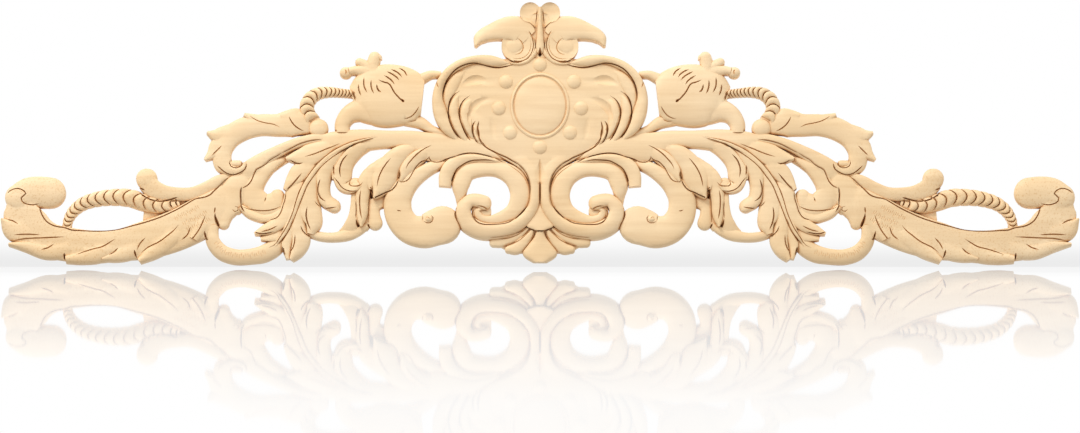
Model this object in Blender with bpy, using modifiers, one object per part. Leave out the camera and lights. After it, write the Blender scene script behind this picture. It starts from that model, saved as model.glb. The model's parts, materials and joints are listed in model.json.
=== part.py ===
# Carved wood applique
#
# A pierced ornament carved from one board: a heart-shaped cartouche with an oval medallion and
# beads, a crest above it, scrolls and a shell foot below it, and two mirrored wings of acanthus
# leaves, scrolls, flowers and ribbed tendrils.  The flat back lies in the plane Y = 0 and the
# carving faces -Y, so a height is how far a surface stands in front of the back.
#
# The design is drawn on a grid.  A step on it is (out, up): out from the centre line and up from
# the foot.  Every carved form is a band that follows a path of steps (out, up, width), with its
# own heights along the left edge, the crown and the right edge.

import bpy
import bmesh
import numpy as np

# Driving dimensions, in metres
LENGTH = 1.000
DEPTH = 0.018

# The drawing grid
HALF_GRID = 538.0
UNIT = LENGTH / (2 * HALF_GRID)
MEDALLION_UP = 160.0

# Heights of the carving, in millimetres in front of the back
WEB = 6.5
LOW = 8.0
GROUND = 9.5
MIDDLE = 11.5
HIGH = 14.0
PROUD = 16.0
TOP = 1000 * DEPTH

# How finely a band follows its path: a new section after this much length or this much turn
SECTION_LENGTH = 55.0
SECTION_TURN = np.radians(46)
PATH_SAMPLES = 240

# Widths above which a band's swell is cut with more facets, and the facets of a rounded end
BROAD = 24.0
NARROW = 13.5
ROUND_END = np.radians((42, 78))

# How far each form reaches behind the back before it is sawn flat, and how much more the next does
BEHIND = 1.0
BEHIND_STEP = 0.03

# The turned medallion: (share of its radius, height), from the middle of its back to its front
MEDALLION_PROFILE = ((0, 4), (1.0, 4), (1.0, 13.2), (0.95, 14.4), (0.89, 13.0), (0.84, 14.4), (0, 15.4))
MEDALLION_STEPS = 18

# Meridians and rings of a bead
BEAD_SEGMENTS = 8
BEAD_RINGS = 6

# How deep, and over what length, a form's sunk end dips into its neighbours
SUNK_DEEP = 4.5
SUNK_REACH = 22.0

# Neighbouring facets that lean less than this to each other become one
FLAT_ANGLE = np.radians(11)

WOOD = (0.83, 0.64, 0.43, 1.0)

forms = None


def clear_scene():
    for obj in list(bpy.data.objects):
        bpy.data.objects.remove(obj)
    for group in list(bpy.data.collections):
        bpy.data.collections.remove(group)


def new_collection(name):
    group = bpy.data.collections.new(name)
    bpy.context.scene.collection.children.link(group)
    return group


def place(out, up, height):
    """A point of the drawing grid, at a height in millimetres, in the part's own frame."""
    return (out * UNIT, -height / 1000, (up - MEDALLION_UP) * UNIT)


def flow(steps, places):
    """Smooth values through evenly or unevenly spaced steps, read at places from 0 to 1."""
    steps = np.array(steps, float)
    gaps = np.linalg.norm(np.diff(steps[:, :2], axis=0), axis=1)
    knots = np.concatenate(([0.0], np.cumsum(gaps)))
    slopes = np.gradient(steps, knots, axis=0)
    at = places * knots[-1]
    span = np.clip(np.searchsorted(knots, at, side="right") - 1, 0, len(knots) - 2)
    width = gaps[span]
    t = (at - knots[span]) / width
    a, b = steps[span], steps[span + 1]
    slope_a, slope_b = slopes[span] * width[:, None], slopes[span + 1] * width[:, None]
    t = t[:, None]
    return (
        a * (2 * t**3 - 3 * t**2 + 1)
        + slope_a * (t**3 - 2 * t**2 + t)
        + b * (3 * t**2 - 2 * t**3)
        + slope_b * (t**3 - t**2)
    )


def sunk(along, path, start, end):
    """How deep a form dips into its neighbours near a sunk end, in millimetres."""
    length = np.linalg.norm(np.diff(np.array(path)[:, :2], axis=0), axis=1).sum()
    reach = min(0.4, SUNK_REACH / length)
    gaps = [along] * (start == "sunk") + [1 - along] * (end == "sunk")
    return sum(SUNK_DEEP * max(0.0, 1 - gap / reach) ** 2 for gap in gaps)


def heights_along(value, places):
    """A height that is one number, or several spread evenly along the path."""
    if np.isscalar(value):
        return np.full(len(places), float(value))
    return np.interp(places, np.linspace(0, 1, len(value)), value)


def sections(path, start, end):
    """Middle, direction and half width of the band at each of its cross sections."""
    fine = np.linspace(0, 1, PATH_SAMPLES)
    step = 1 / PATH_SAMPLES
    line = flow(path, fine)
    steps = np.diff(line[:, :2], axis=0)
    length = np.linalg.norm(steps, axis=1)
    bearing = np.unwrap(np.arctan2(steps[:, 1], steps[:, 0]))
    turn = np.abs(np.diff(bearing, prepend=bearing[0]))
    taper = np.arctan(np.diff(line[:, 2]) / 2 / length)
    flare = np.abs(np.diff(taper, prepend=taper[0]))
    need = np.cumsum(length / SECTION_LENGTH + (turn + flare / 2) / SECTION_TURN)
    need = np.concatenate(([0.0], need))
    count = max(3, int(round(need[-1])) + 1)
    places = np.interp(np.linspace(0, need[-1], count), need, fine)
    middle = flow(path, places)
    ahead = flow(path, np.minimum(places + step, 1)) - flow(path, np.maximum(places - step, 0))
    ahead = ahead[:, :2] / np.linalg.norm(ahead[:, :2], axis=1, keepdims=True)
    rows = [
        (middle[i, :2], ahead[i], middle[i, 2] / 2, places[i], 1.0) for i in range(count)
    ]
    if start == "round":
        first = rows[0]
        for angle in ROUND_END:
            centre = first[0] - first[1] * first[2] * np.sin(angle)
            rows.insert(0, (centre, first[1], first[2] * np.cos(angle), 0.0, np.cos(angle)))
    if end == "round":
        last = rows[-1]
        for angle in ROUND_END:
            centre = last[0] + last[1] * last[2] * np.sin(angle)
            rows.append((centre, last[1], last[2] * np.cos(angle), 1.0, np.cos(angle)))
    return rows


def cross_section(width, flat):
    """Where the points across a band lie, from its left edge at -1 to its right edge at 1."""
    if flat:
        return (-1.0, 1.0)
    if width > BROAD:
        return (-1.0, -0.62, 0.0, 0.62, 1.0)
    if width > NARROW:
        return (-1.0, -0.4, 0.4, 1.0)
    return (-1.0, 0.0, 1.0)


def band(path, left, crown, right, start="cut", end="cut", fullness=2.0):
    """One carved form: a loft of unlike sections along a path, closed at the back and both ends."""
    rows = sections(path, start, end)
    section = cross_section(max(step[2] for step in path), left == crown == right)
    behind = -BEHIND - BEHIND_STEP * len(forms.objects)
    mesh = bpy.data.meshes.new("form")
    build = bmesh.new()
    loops = []
    for centre, ahead, half, along, shrink in rows:
        side = np.array((-ahead[1], ahead[0])) * half
        spot = np.array([along])
        dip = sunk(along, path, start, end)
        left_height = heights_along(left, spot)[0] - dip
        right_height = heights_along(right, spot)[0] - dip
        crown_height = heights_along(crown, spot)[0] - dip
        sides = (left_height + right_height) / 2
        loop = [build.verts.new(place(*(centre + side), behind))]
        for across in section:
            if crown_height > sides:
                swell = (1 - abs(across) ** fullness) ** (1 / fullness)
            else:
                swell = 1 - across**2
            edge = left_height + (right_height - left_height) * (across + 1) / 2
            height = edge + (crown_height - sides) * swell * shrink
            loop.append(build.verts.new(place(*(centre - side * across), height)))
        loop.append(build.verts.new(place(*(centre - side), behind)))
        loops.append(loop)
    for one, two in zip(loops, loops[1:]):
        for i in range(len(one)):
            j = (i + 1) % len(one)
            build.faces.new((one[i], one[j], two[j], two[i]))
    build.faces.new(reversed(loops[0]))
    build.faces.new(loops[-1])
    bmesh.ops.recalc_face_normals(build, faces=build.faces)
    build.to_mesh(mesh)
    build.free()
    obj = bpy.data.objects.new(f"form_{len(forms.objects):02d}", mesh)
    forms.objects.link(obj)
    return obj


def knob(out, up, across, height, side):
    """A round button-like end, domed in front."""
    band([(out - 0.4, up, across), (out + 0.4, up, across)], side, height, side, "round", "round")


def bead(out, up, across, seat, rise):
    """A low pearl standing on the ground of the cartouche."""
    build = bmesh.new()
    bmesh.ops.create_uvsphere(build, u_segments=BEAD_SEGMENTS, v_segments=BEAD_RINGS, radius=1.0)
    radius = across / 2 * UNIT
    bmesh.ops.scale(build, vec=(radius, 0.001 * rise, radius), verts=build.verts)
    bmesh.ops.translate(build, vec=place(out, up, seat), verts=build.verts)
    mesh = bpy.data.meshes.new("bead")
    build.to_mesh(mesh)
    build.free()
    forms.objects.link(bpy.data.objects.new(f"form_{len(forms.objects):02d}", mesh))


def medallion(half_wide, half_high):
    """The oval disc with its raised ring, turned about its own axis and stretched upright."""
    mesh = bpy.data.meshes.new("medallion")
    half_step = np.pi / MEDALLION_STEPS
    points = []
    for share, height in MEDALLION_PROFILE:
        radius = share * half_wide * UNIT
        points.append((radius * np.cos(half_step), -height / 1000, radius * np.sin(half_step)))
    mesh.from_pydata(points, [(i, i + 1) for i in range(len(points) - 1)], [])
    obj = bpy.data.objects.new("medallion", mesh)
    obj.location = place(0, MEDALLION_UP, 0)
    obj.scale.z = half_high / half_wide
    forms.objects.link(obj)
    turn = obj.modifiers.new("turned", "SCREW")
    turn.axis = "Y"
    turn.steps = turn.render_steps = MEDALLION_STEPS
    turn.use_merge_vertices = True
    turn.merge_threshold = 0.00001


def crest():
    band([(0, 257, 8), (0, 250, 16), (0, 236, 30), (0, 218, 38), (0, 204, 40)], 12.3, 12.3, 12.3)
    band([(3.5, 240, 3), (6, 246.5, 10), (9.5, 252.6, 20.3), (9.8, 254.2, 20.8)], 15, 12, 14.5, end="round")
    band([(64, 222, 4), (61.5, 227.5, 11), (56, 232, 14), (48, 235, 17), (38, 237.5, 22), (28, 238.5, 25),
          (18, 235.5, 26), (11.5, 229, 18)], (12, 13, 13.5), (15, 17, 14), (10, 12, 13.5), start="round")
    knob(21.8, 220.8, 32.6, 13.2, 14.6)
    band([(23.8, 221.8, 14), (26.8, 220.4, 15)], 13, 14.5, 13, "round", "round")
    band([(0, 260, 3), (0, 250, 4), (0, 240, 5.5), (0, 228, 7), (0, 218, 9), (0, 213.5, 6)], 13, PROUD, 13)
    band([(1.5, 228, 5), (3.3, 218.5, 5.5), (7, 211, 5.5), (13, 205.3, 4.8), (22, 202.6, 3.5),
          (30, 203, 1.5)], 12, 14.8, 12, "sunk")


def cartouche():
    band([(0, 208, 70), (0, 203, 140), (0, 195, 176), (0, 180, 198), (0, 158, 198), (0, 135, 166),
          (0, 112, 92), (0, 97, 42), (0, 84, 22)], GROUND, 13.2, GROUND, fullness=2.6)
    band([(28, 202.8, 2), (37, 203.5, 7.5), (48, 204.8, 12), (66, 206.5, 8.5), (80, 202, 9.5),
          (93, 192.2, 9.5), (100.5, 180, 9), (102.3, 168, 11), (99.5, 153, 14), (92, 137.5, 12.5),
          (82, 126, 6)], 13, TOP - 1.5, 11, "sunk", "sunk")
    band([(68, 197, 2), (79, 192.5, 9), (87, 182, 13), (92.5, 168, 10), (93, 153, 5)],
         11, HIGH, 11, "sunk", "sunk")
    band([(77, 174.5, 3), (84, 166, 8), (85.8, 156, 11), (83.5, 144, 11), (77, 131, 9), (70, 121, 4)],
         12, 15, 10, "sunk", "sunk")
    band([(64, 170, 4), (72.5, 160, 11), (74, 149, 13), (71.5, 138, 10), (65, 125, 4)],
         12, 15, 10, "sunk", "sunk")
    band([(63.5, 145, 2), (64.8, 136, 5), (62, 127, 5), (54, 117.5, 4)], 12, HIGH, 10, "sunk", "sunk")
    medallion(30, 34)
    for out, up in ((0, 201.5), (34, 184.3), (41, 157.6), (29.8, 133), (0, 118.2)):
        bead(out, up, 16.5, 10.6, 4.9)


def inner_scroll():
    band([(36, 114, 4), (25.5, 109.3, 9), (17, 104.5, 12), (10.9, 99, 13), (6.2, 88, 12), (4.8, 74, 10.5),
          (6, 61, 11), (14, 47, 12), (28, 37.5, 14), (46, 33.5, 16), (62, 35.5, 17), (74, 44, 17),
          (76.5, 56, 15), (69.5, 64.8, 13), (61, 64.5, 14), (56, 62.5, 15)],
         13, (13, 14.5, PROUD, PROUD, PROUD, PROUD), (12, 11, 11), "sunk", "round")
    band([(80, 61, 6), (79.5, 70, 11), (79.5, 81, 17.5), (73.5, 93, 17), (58, 98, 16), (41, 96.8, 16),
          (25.5, 88, 20), (19.3, 72, 21), (25, 55, 18), (40, 46, 14), (53, 44.5, 10), (61, 48, 9),
          (62.5, 54.5, 7), (57.5, 57.5, 4)], 11.5, HIGH, 10, "sunk")
    knob(58.5, 54, 19, 12, 11)
    band([(34, 103, 3), (50, 105, 7), (64, 107, 9), (79, 104.5, 12), (89, 98.5, 15), (93.8, 90, 14),
          (94.8, 79, 12.5)], 12.5, 15, 10.5, "sunk")


def shell_foot():
    band([(0, 40, 20), (0, 31, 72), (0, 24.5, 101), (0, 18, 76), (0, 12.5, 58)], LOW, GROUND, LOW)
    band([(0, 77, 2), (0, 66, 5), (0, 58, 9), (0, 50, 18), (0, 44, 25), (0, 39, 27), (0, 36.5, 20),
          (0, 34.5, 8)],
         (9, 11, 12.5), (9.5, 12.5, 14.5), (9, 11, 12.5))
    band([(0, 37, 6), (0, 27, 13.5), (0, 18.5, 27.5), (0, 12.5, 34.5), (0, 7, 27), (0, 3, 13)],
         GROUND, 13, GROUND)
    band([(7, 36, 3), (11, 29, 8), (17, 22.5, 12), (25, 16.8, 11.5), (31.5, 15.8, 7)],
         GROUND, 12, GROUND, end="round")
    band([(12, 37, 3), (20, 31.5, 8), (30, 27, 11), (40, 24, 11.5), (46, 23, 9)],
         GROUND, 11.3, GROUND, end="round")


def big_scroll():
    band([(90, 103, 7), (107, 99, 12), (120, 91.5, 15), (133, 81, 21), (141.8, 66, 27), (140.5, 50, 28),
          (130, 37, 29), (116, 34, 32), (104, 38.5, 36), (97.5, 40.8, 37.5)],
         GROUND, 13.5, GROUND, "sunk", "round", fullness=2.4)
    knob(111, 46, 8, 14.8, GROUND)


def stem():
    band([(36, 106, 3), (50, 112, 10), (63, 117, 19), (78, 119, 21), (93, 118.5, 28), (108, 119, 30),
          (128, 125.5, 20), (152, 126.8, 17.5), (180, 126, 21.5), (206, 124.5, 20), (228, 122, 15)],
         GROUND, 13, GROUND, "sunk", "sunk", fullness=2.4)
    band([(205, 127, 14), (230, 126, 11), (246, 121.5, 11), (262, 114.5, 12), (275, 107, 15),
          (289, 96, 20), (300, 84, 22)], 10.5, 12.5, GROUND, "sunk", "sunk")
    band([(245, 113, 8), (262, 106, 14), (278, 96, 18), (290, 84, 14)], WEB, WEB, WEB)


def stem_leaves():
    band([(106, 119, 6), (118, 110.5, 14), (128, 102.5, 16), (134, 94.5, 13.5), (137.3, 88, 9),
          (139.3, 84, 4)], 12.5, 14.5, 10, "sunk")
    band([(122, 118, 10), (138, 111, 20), (149, 100, 24), (155, 88, 27), (158.5, 79, 22), (162, 72, 11.5),
          (165.3, 66.8, 3)], 12, 15.5, GROUND, "sunk")
    band([(148, 112, 4), (160, 100, 13), (167, 91, 18), (169, 81, 12), (169.5, 76, 4)],
         11, HIGH, 10, "sunk")
    band([(158, 102, 6), (170, 91, 15), (176.5, 77, 15), (177.8, 64, 13), (177.7, 52, 11.5), (178.3, 44, 7.5),
          (178.5, 38.5, 2)], 11, HIGH, 10, "sunk")
    band([(178, 82, 8), (181.8, 73, 12), (183, 60, 12.5), (185.2, 47, 13.5), (190.5, 37.5, 13), (199, 31, 8)],
         11, 12, GROUND, "sunk", "sunk")
    band([(177, 66, 10), (175.5, 54, 14), (175, 44, 15), (177, 36, 9)], WEB, LOW, WEB)
    band([(170, 42, 5), (179, 37, 10), (190, 32, 12), (204, 28.5, 9.5), (218, 29, 9), (232, 33, 8)],
         (7, LOW, LOW), (8.5, 11, 11), (7, LOW, LOW))
    band([(141, 93, 6), (149, 80, 14), (160, 68, 24), (166, 58, 13), (166, 51, 12.5), (164.5, 43, 14.5)],
         (5.5, 5.5, 7, 7.5), (6, 6.5, 9, 10), (5.5, 5.5, 7, 7.5), end="round")
    band([(166, 123, 7), (184, 114, 14), (193.5, 103, 16), (197.5, 90.5, 19), (195, 80, 14),
          (187, 78, 11), (181, 82, 9)], 13.5, HIGH, 10, "sunk")
    knob(184.5, 81.5, 13, HIGH - 2, GROUND)
    band([(190, 116, 4), (201, 104, 9), (204, 93, 9), (206, 86, 4)], 12, 13.5, 12, "sunk")


def drop_leaf():
    band([(158, 129.5, 1.5), (190, 121.3, 4), (213, 107.5, 5), (229, 90, 5.5), (240, 68, 5.5), (249, 46, 5),
          (258, 28, 5), (268, 18, 3)], 13.6, 14.9, 13.6, "sunk", "sunk")
    band([(200, 121, 8), (218, 116, 18), (233, 109.5, 22), (246, 108, 11), (254, 107, 3)],
         11.5, 14.5, 12.5, "sunk")
    band([(219, 107, 8), (231, 99.5, 16), (240, 93, 19), (247.5, 84.5, 14), (254.5, 75.5, 5)],
         12, 14.5, 12, "sunk")
    band([(234, 90, 8), (245, 75, 16), (250, 60, 16), (255, 48, 16), (265, 39.5, 14), (276, 34.5, 10),
          (285, 31.3, 3)], 11.5, 14.5, 12.5, "sunk")
    band([(254, 42, 12), (264, 31, 14), (272, 28, 9), (279, 26.5, 4)], 10, 12.5, 12, "sunk")
    band([(190, 118, 4), (206, 105, 15), (215, 92, 17), (216.2, 78, 13), (213.5, 65, 14),
          (205.5, 59.5, 13)], 12.5, 14.5, GROUND, "sunk", "round")
    band([(214, 103, 8), (226, 86, 15), (230.5, 68, 21), (229, 54, 22), (226, 42, 17), (229, 31, 7)],
         12.5, 14, 10, "sunk")
    band([(233, 73, 6), (240, 54, 11), (240.5, 38, 16), (238.3, 25, 18), (242.5, 13, 13), (248, 5, 5)],
         12.5, HIGH, GROUND, "sunk")
    band([(244, 52, 4), (248, 34, 11), (252.5, 20, 11), (251, 6, 5)], 12, 13.5, 10, "sunk")
    band([(254, 36, 12), (264, 19, 17), (275, 12, 17), (289, 9, 15), (304, 8.5, 15), (318, 13.5, 15),
          (326.5, 24, 14), (327.5, 40, 12)], GROUND, 12.5, LOW, "sunk")


def bowl_scroll():
    band([(254, 108.5, 7), (265, 102.3, 10), (276, 93.5, 15), (284, 82, 18), (287.5, 73, 22),
          (287.5, 63, 23), (285, 52, 16)], LOW, 11.8, LOW, "sunk", "sunk", fullness=2.4)
    band([(288, 92, 11), (288, 78, 19), (284, 66.5, 24), (276, 59.5, 24.5), (268, 60, 25), (265, 61, 25)],
         LOW, 12.2, LOW, "sunk", "round", fullness=2.4)
    band([(262, 54, 16), (263, 62, 17), (262.3, 69, 15)], LOW, 12.2, LOW, "sunk", "round", fullness=2.4)
    band([(299, 59, 6), (290, 52.5, 10), (282.5, 49.5, 10.5), (275, 48, 11), (266, 50, 11), (257, 57, 8)],
         10.5, 12.3, LOW)
    knob(302.5, 56, 9, 11, LOW)


def hook_leaf():
    band([(226, 136, 10), (246, 143.5, 27), (262, 141.5, 22), (280, 141.5, 21), (297, 137.5, 22),
          (312, 127, 21), (318, 113, 19), (316, 101, 18), (309, 95.5, 12), (302, 95, 9), (296.5, 98, 7),
          (294.5, 103, 4)], GROUND, 12.5, GROUND, "sunk")
    band([(236, 149, 16), (247, 150.5, 15), (259, 150, 6)], GROUND, 12, 10, "sunk")
    band([(268, 143, 12), (283, 146.5, 11), (296, 151.5, 4)], GROUND, 12, 10, "sunk")
    band([(298, 139, 14), (315, 132.5, 16), (325, 131, 12), (333, 133.5, 3)], GROUND, 12, 10, "sunk")
    band([(311, 128, 14), (322, 120, 17), (328, 112, 11), (335, 106, 3)], GROUND, 12, 10, "sunk")
    band([(300.8, 102, 7.5), (306.8, 102, 7.5)], LOW, 11.5, LOW, "round", "round")


def flower():
    band([(117.5, 168.5, 36), (122, 169, 46), (130, 170, 55), (144, 171, 62), (161, 170.5, 62),
          (175, 169, 52), (187, 166, 30)], GROUND, PROUD - 0.5, GROUND, end="sunk", fullness=2.2)
    band([(140, 190, 14), (163, 194, 16), (177, 196, 14), (187, 196.3, 9), (191, 195.5, 8.5)],
         LOW, 12.5, LOW)
    knob(194.3, 194.2, 11.5, 12.5, LOW)
    band([(166, 195, 13), (167, 202, 13.5), (165.5, 209.3, 12.5)], LOW, 13, LOW, end="round")
    band([(164, 211, 6), (160.5, 210, 4.5), (159.3, 207.3, 2.5)], LOW, 11, LOW)
    band([(170, 199, 12), (180.5, 204.7, 9)], LOW, 12, LOW, end="round")
    band([(130, 184, 14), (119, 188, 11), (109, 192.3, 8.5), (99, 192, 7)], LOW, 12, LOW)
    band([(121, 157, 5), (126, 151, 11), (136, 149.5, 15), (150, 150.5, 19), (166, 154, 24), (182, 156, 22),
          (192, 151, 18), (197.5, 142, 15.5), (197.5, 133.5, 15)], LOW, 13.2, LOW, fullness=2.4)
    band([(134, 148, 14), (120, 144, 12), (108, 136.5, 9), (92, 131.5, 8)], LOW, 11.5, LOW)


def tendrils():
    band([(184, 171.5, 10), (200, 173, 10), (212, 174, 11), (225, 172, 13), (233, 165.5, 15),
          (234.5, 156, 14), (230, 148, 14), (223, 140, 16)], LOW, 12, LOW)
    knob(221.5, 138, 19, 13, LOW)
    band([(471.5, 34, 10), (470.8, 45, 10), (466, 54, 12), (456, 62, 14), (442, 66.8, 16), (426, 68.8, 18),
          (408, 66.5, 19), (392, 61, 17), (376, 58.5, 15), (360, 61, 10)], LOW, 12.5, LOW)
    band([(396.5, 48, 14), (386, 47, 12), (366, 57, 14), (352, 63, 12), (340, 67, 6)], WEB, WEB, WEB)


def knob_tendril():
    band([(306, 92, 5), (321, 84.5, 12), (333, 77, 14), (347, 71.5, 14), (362, 71.5, 13), (377, 73, 16),
          (388, 78, 19), (393, 84, 19)], 11, 12.5, GROUND, "sunk")
    knob(393, 87, 20.5, 13, GROUND)


def wing():
    band([(290, 98, 8), (300, 84, 22), (308, 70, 27), (313, 58, 25), (315.5, 50, 18.5), (316, 42.5, 12)],
         GROUND, 12, GROUND, "sunk", "round")
    band([(306, 76, 22), (321, 62, 31), (338, 48.5, 40), (356, 38.5, 40), (376, 30.5, 39), (396, 25, 37),
          (420, 20.5, 31), (445, 18.5, 32), (470, 21, 33), (492, 26, 35), (508, 36, 42), (517, 49, 38),
          (522, 62, 28), (527, 70, 12)], MIDDLE, 13, GROUND, "sunk", fullness=2.6)
    band([(332, 52, 16), (340, 38, 18), (346, 26, 11)], GROUND, 13.5, GROUND, "sunk")
    band([(352, 42, 12), (368, 28, 20), (386, 14, 16), (400, 4, 6)], GROUND, HIGH, GROUND, "sunk")
    band([(390, 29, 12), (408, 16, 19), (424, 9.5, 13), (437, 6, 4)], GROUND, 13.5, GROUND, "sunk")
    band([(418, 27, 12), (438, 13.5, 20), (457, 8, 14), (473.5, 6, 8)], GROUND, HIGH, GROUND, "sunk")
    band([(455, 27, 12), (474, 18, 20), (492, 14.5, 17), (512, 19, 12), (530.5, 21, 3)],
         GROUND, 13.5, GROUND, "sunk")
    band([(495, 34, 18), (515, 33.5, 25), (528, 37.5, 21), (538, 46.5, 2)], GROUND, 13.5, GROUND, "sunk")
    band([(521, 68, 27), (511, 73, 30), (499, 73.5, 31.5), (489, 73, 30.5)],
         GROUND, 15, GROUND, "round", "round")


def main():
    global forms
    clear_scene()
    part = new_collection("Carved Wood Applique")
    forms = new_collection("Carved Forms")
    helpers = new_collection("Sawn Back")
    cartouche()
    crest()
    inner_scroll()
    shell_foot()
    big_scroll()
    stem()
    stem_leaves()
    drop_leaf()
    bowl_scroll()
    hook_leaf()
    flower()
    tendrils()
    knob_tendril()
    wing()
    applique = forms.objects[0]
    applique.name = "applique"
    forms.objects.unlink(applique)
    part.objects.link(applique)

    join = applique.modifiers.new("forms", "BOOLEAN")
    join.operation = "UNION"
    join.operand_type = "COLLECTION"
    join.collection = forms
    join.solver = "MANIFOLD"

    bpy.ops.mesh.primitive_cube_add(size=1.0)
    back = bpy.context.active_object
    back.name = "sawn_back"
    for group in list(back.users_collection):
        group.objects.unlink(back)
    helpers.objects.link(back)
    back.scale = (2 * LENGTH, 2 * DEPTH, LENGTH)
    back.location = (0.0, DEPTH, 0.0)
    saw = applique.modifiers.new("sawn flat", "BOOLEAN")
    saw.operation = "DIFFERENCE"
    saw.object = back
    saw.solver = "MANIFOLD"

    halves = applique.modifiers.new("halves", "MIRROR")
    halves.use_axis[0] = True
    halves.use_bisect_axis[0] = True
    halves.bisect_threshold = 0.00001
    halves.merge_threshold = 0.00002

    flats = applique.modifiers.new("flats", "DECIMATE")
    flats.decimate_type = "DISSOLVE"
    flats.angle_limit = FLAT_ANGLE

    for group in (forms, helpers):
        group.hide_render = True
        for obj in group.objects:
            obj.hide_render = True
            obj.display_type = "WIRE"

    wood = bpy.data.materials.new("carved_wood")
    wood.use_nodes = True
    shader = wood.node_tree.nodes["Principled BSDF"]
    shader.inputs["Base Color"].default_value = WOOD
    shader.inputs["Roughness"].default_value = 0.6
    shader.inputs["Metallic"].default_value = 0.0
    applique.data.materials.append(wood)


main()
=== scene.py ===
# %% [markdown]
# # A carved wood applique
#
# The real thing is one board, pierced with a fretsaw and then carved with gouges: a heart-shaped
# cartouche with a crest above it and a shell foot below it, between two mirrored wings of acanthus
# leaves. We start from the frame, which is the solid with the true size and outline. It could stay
# visible, but its facets are coarse, so everything below carves a finer piece in the same place.

# %% Open the frame
import json

import bmesh
import bpy
import numpy as np
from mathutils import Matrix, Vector
from mathutils.bvhtree import BVHTree

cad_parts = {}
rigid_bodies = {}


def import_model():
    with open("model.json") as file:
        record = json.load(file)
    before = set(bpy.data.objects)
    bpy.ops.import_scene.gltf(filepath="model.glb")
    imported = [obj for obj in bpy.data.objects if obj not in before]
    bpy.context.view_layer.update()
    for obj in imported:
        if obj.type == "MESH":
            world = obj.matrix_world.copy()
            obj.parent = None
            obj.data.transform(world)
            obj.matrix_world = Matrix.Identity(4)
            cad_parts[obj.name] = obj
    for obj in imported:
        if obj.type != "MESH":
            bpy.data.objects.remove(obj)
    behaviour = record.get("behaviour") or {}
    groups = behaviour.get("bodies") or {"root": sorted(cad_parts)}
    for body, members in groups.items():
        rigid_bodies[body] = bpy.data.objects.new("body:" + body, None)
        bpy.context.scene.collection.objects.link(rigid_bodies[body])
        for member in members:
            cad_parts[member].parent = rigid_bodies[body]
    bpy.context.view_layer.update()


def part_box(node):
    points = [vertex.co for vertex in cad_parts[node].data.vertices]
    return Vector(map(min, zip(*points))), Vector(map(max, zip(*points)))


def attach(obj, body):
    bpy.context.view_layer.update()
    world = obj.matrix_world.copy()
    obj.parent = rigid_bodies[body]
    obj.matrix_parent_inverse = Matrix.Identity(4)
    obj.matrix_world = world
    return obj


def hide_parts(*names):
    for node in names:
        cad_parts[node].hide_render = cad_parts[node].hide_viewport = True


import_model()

low_corner, high_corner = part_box("applique")

# %% [markdown]
# ## The drawing on the board
#
# A carver pastes a drawing on the board and works over it. Ours is a grid whose step is about a
# millimetre: "out" runs from the centre line to the tip of a wing, and "up" runs from the foot to
# the crest. Only one half is drawn, because the other is its mirror image. Heights are millimetres in
# front of the flat back, which lies in the plane Y = 0, and the carving faces -Y. One could model
# in metres straight away, but on a grid the drawing stays readable.

# %% The drawing grid and the heights of the relief
BOARD_LENGTH = 1.000
HALF_GRID = 538.0
STEP = BOARD_LENGTH / (2 * HALF_GRID)
MEDALLION_UP = 160.0

WEB, LOW, GROUND, MIDDLE, HIGH, PROUD, TOP = 6.5, 8.0, 9.5, 11.5, 14.0, 16.0, 16.5


def on_board(out, up, height):
    """A point of the drawing, at a height in millimetres in front of the back, in metres."""
    return (out * STEP, -height / 1000, (up - MEDALLION_UP) * STEP)


print("one grid step is", round(1000 * STEP, 3), "mm")

# %% [markdown]
# ## A line that flows
#
# Acanthus ornament is drawn with long easy curves. A Blender curve object would give one, but then
# its width and height couldn't change freely along it. So a line here is a short list of steps,
# (out, up, width), and a smooth spline reads every value between them.

# %% Read a smooth line through a few steps


def flow(steps, places):
    """Every column of steps, read smoothly at places from 0 to 1 along the line."""
    steps = np.array(steps, float)
    gaps = np.linalg.norm(np.diff(steps[:, :2], axis=0), axis=1)
    knots = np.concatenate(([0.0], np.cumsum(gaps)))
    slopes = np.gradient(steps, knots, axis=0)
    at = places * knots[-1]
    span = np.clip(np.searchsorted(knots, at, side="right") - 1, 0, len(knots) - 2)
    t = ((at - knots[span]) / gaps[span])[:, None]
    reach = gaps[span][:, None]
    return (
        steps[span] * (2 * t**3 - 3 * t**2 + 1)
        + slopes[span] * reach * (t**3 - 2 * t**2 + t)
        + steps[span + 1] * (3 * t**2 - 2 * t**3)
        + slopes[span + 1] * reach * (t**3 - t**2)
    )


print("middle of a quarter bend:", flow([(0, 0, 1), (7, 3, 2), (10, 10, 1)], np.array([0.5])).round(2))

# %% [markdown]
# ## Where to put the cross sections
#
# A form is lofted through cross sections. Evenly spaced ones waste faces on straight stretches and
# leave corners on the curls. Here a new section comes after a set length or a set turn, whichever
# is used up first, which is how a carver moves the gouge: long strokes on the straight, short ones
# round a curl. On the inside of a tight curl the half width is held under the radius, so that the
# form never folds over itself. A round end gets a few more sections that shrink along a quarter
# circle.

# %% Cross sections along a line
STROKE = 6.5
STROKE_TURN = np.radians(9)
FINE_PLACES = 400
BEND_SPAN = 9
THINNEST_HALF = 0.05
INNER_LIMIT = 0.92
ROUND_END = np.radians((16, 32, 48, 62, 75, 85))


def headings(path, places, near):
    """Unit directions of the line at places, each read from a little before it to a little after."""
    ahead = flow(path, np.minimum(places + near, 1)) - flow(path, np.maximum(places - near, 0))
    return ahead[:, :2] / np.linalg.norm(ahead[:, :2], axis=1, keepdims=True)


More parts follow.
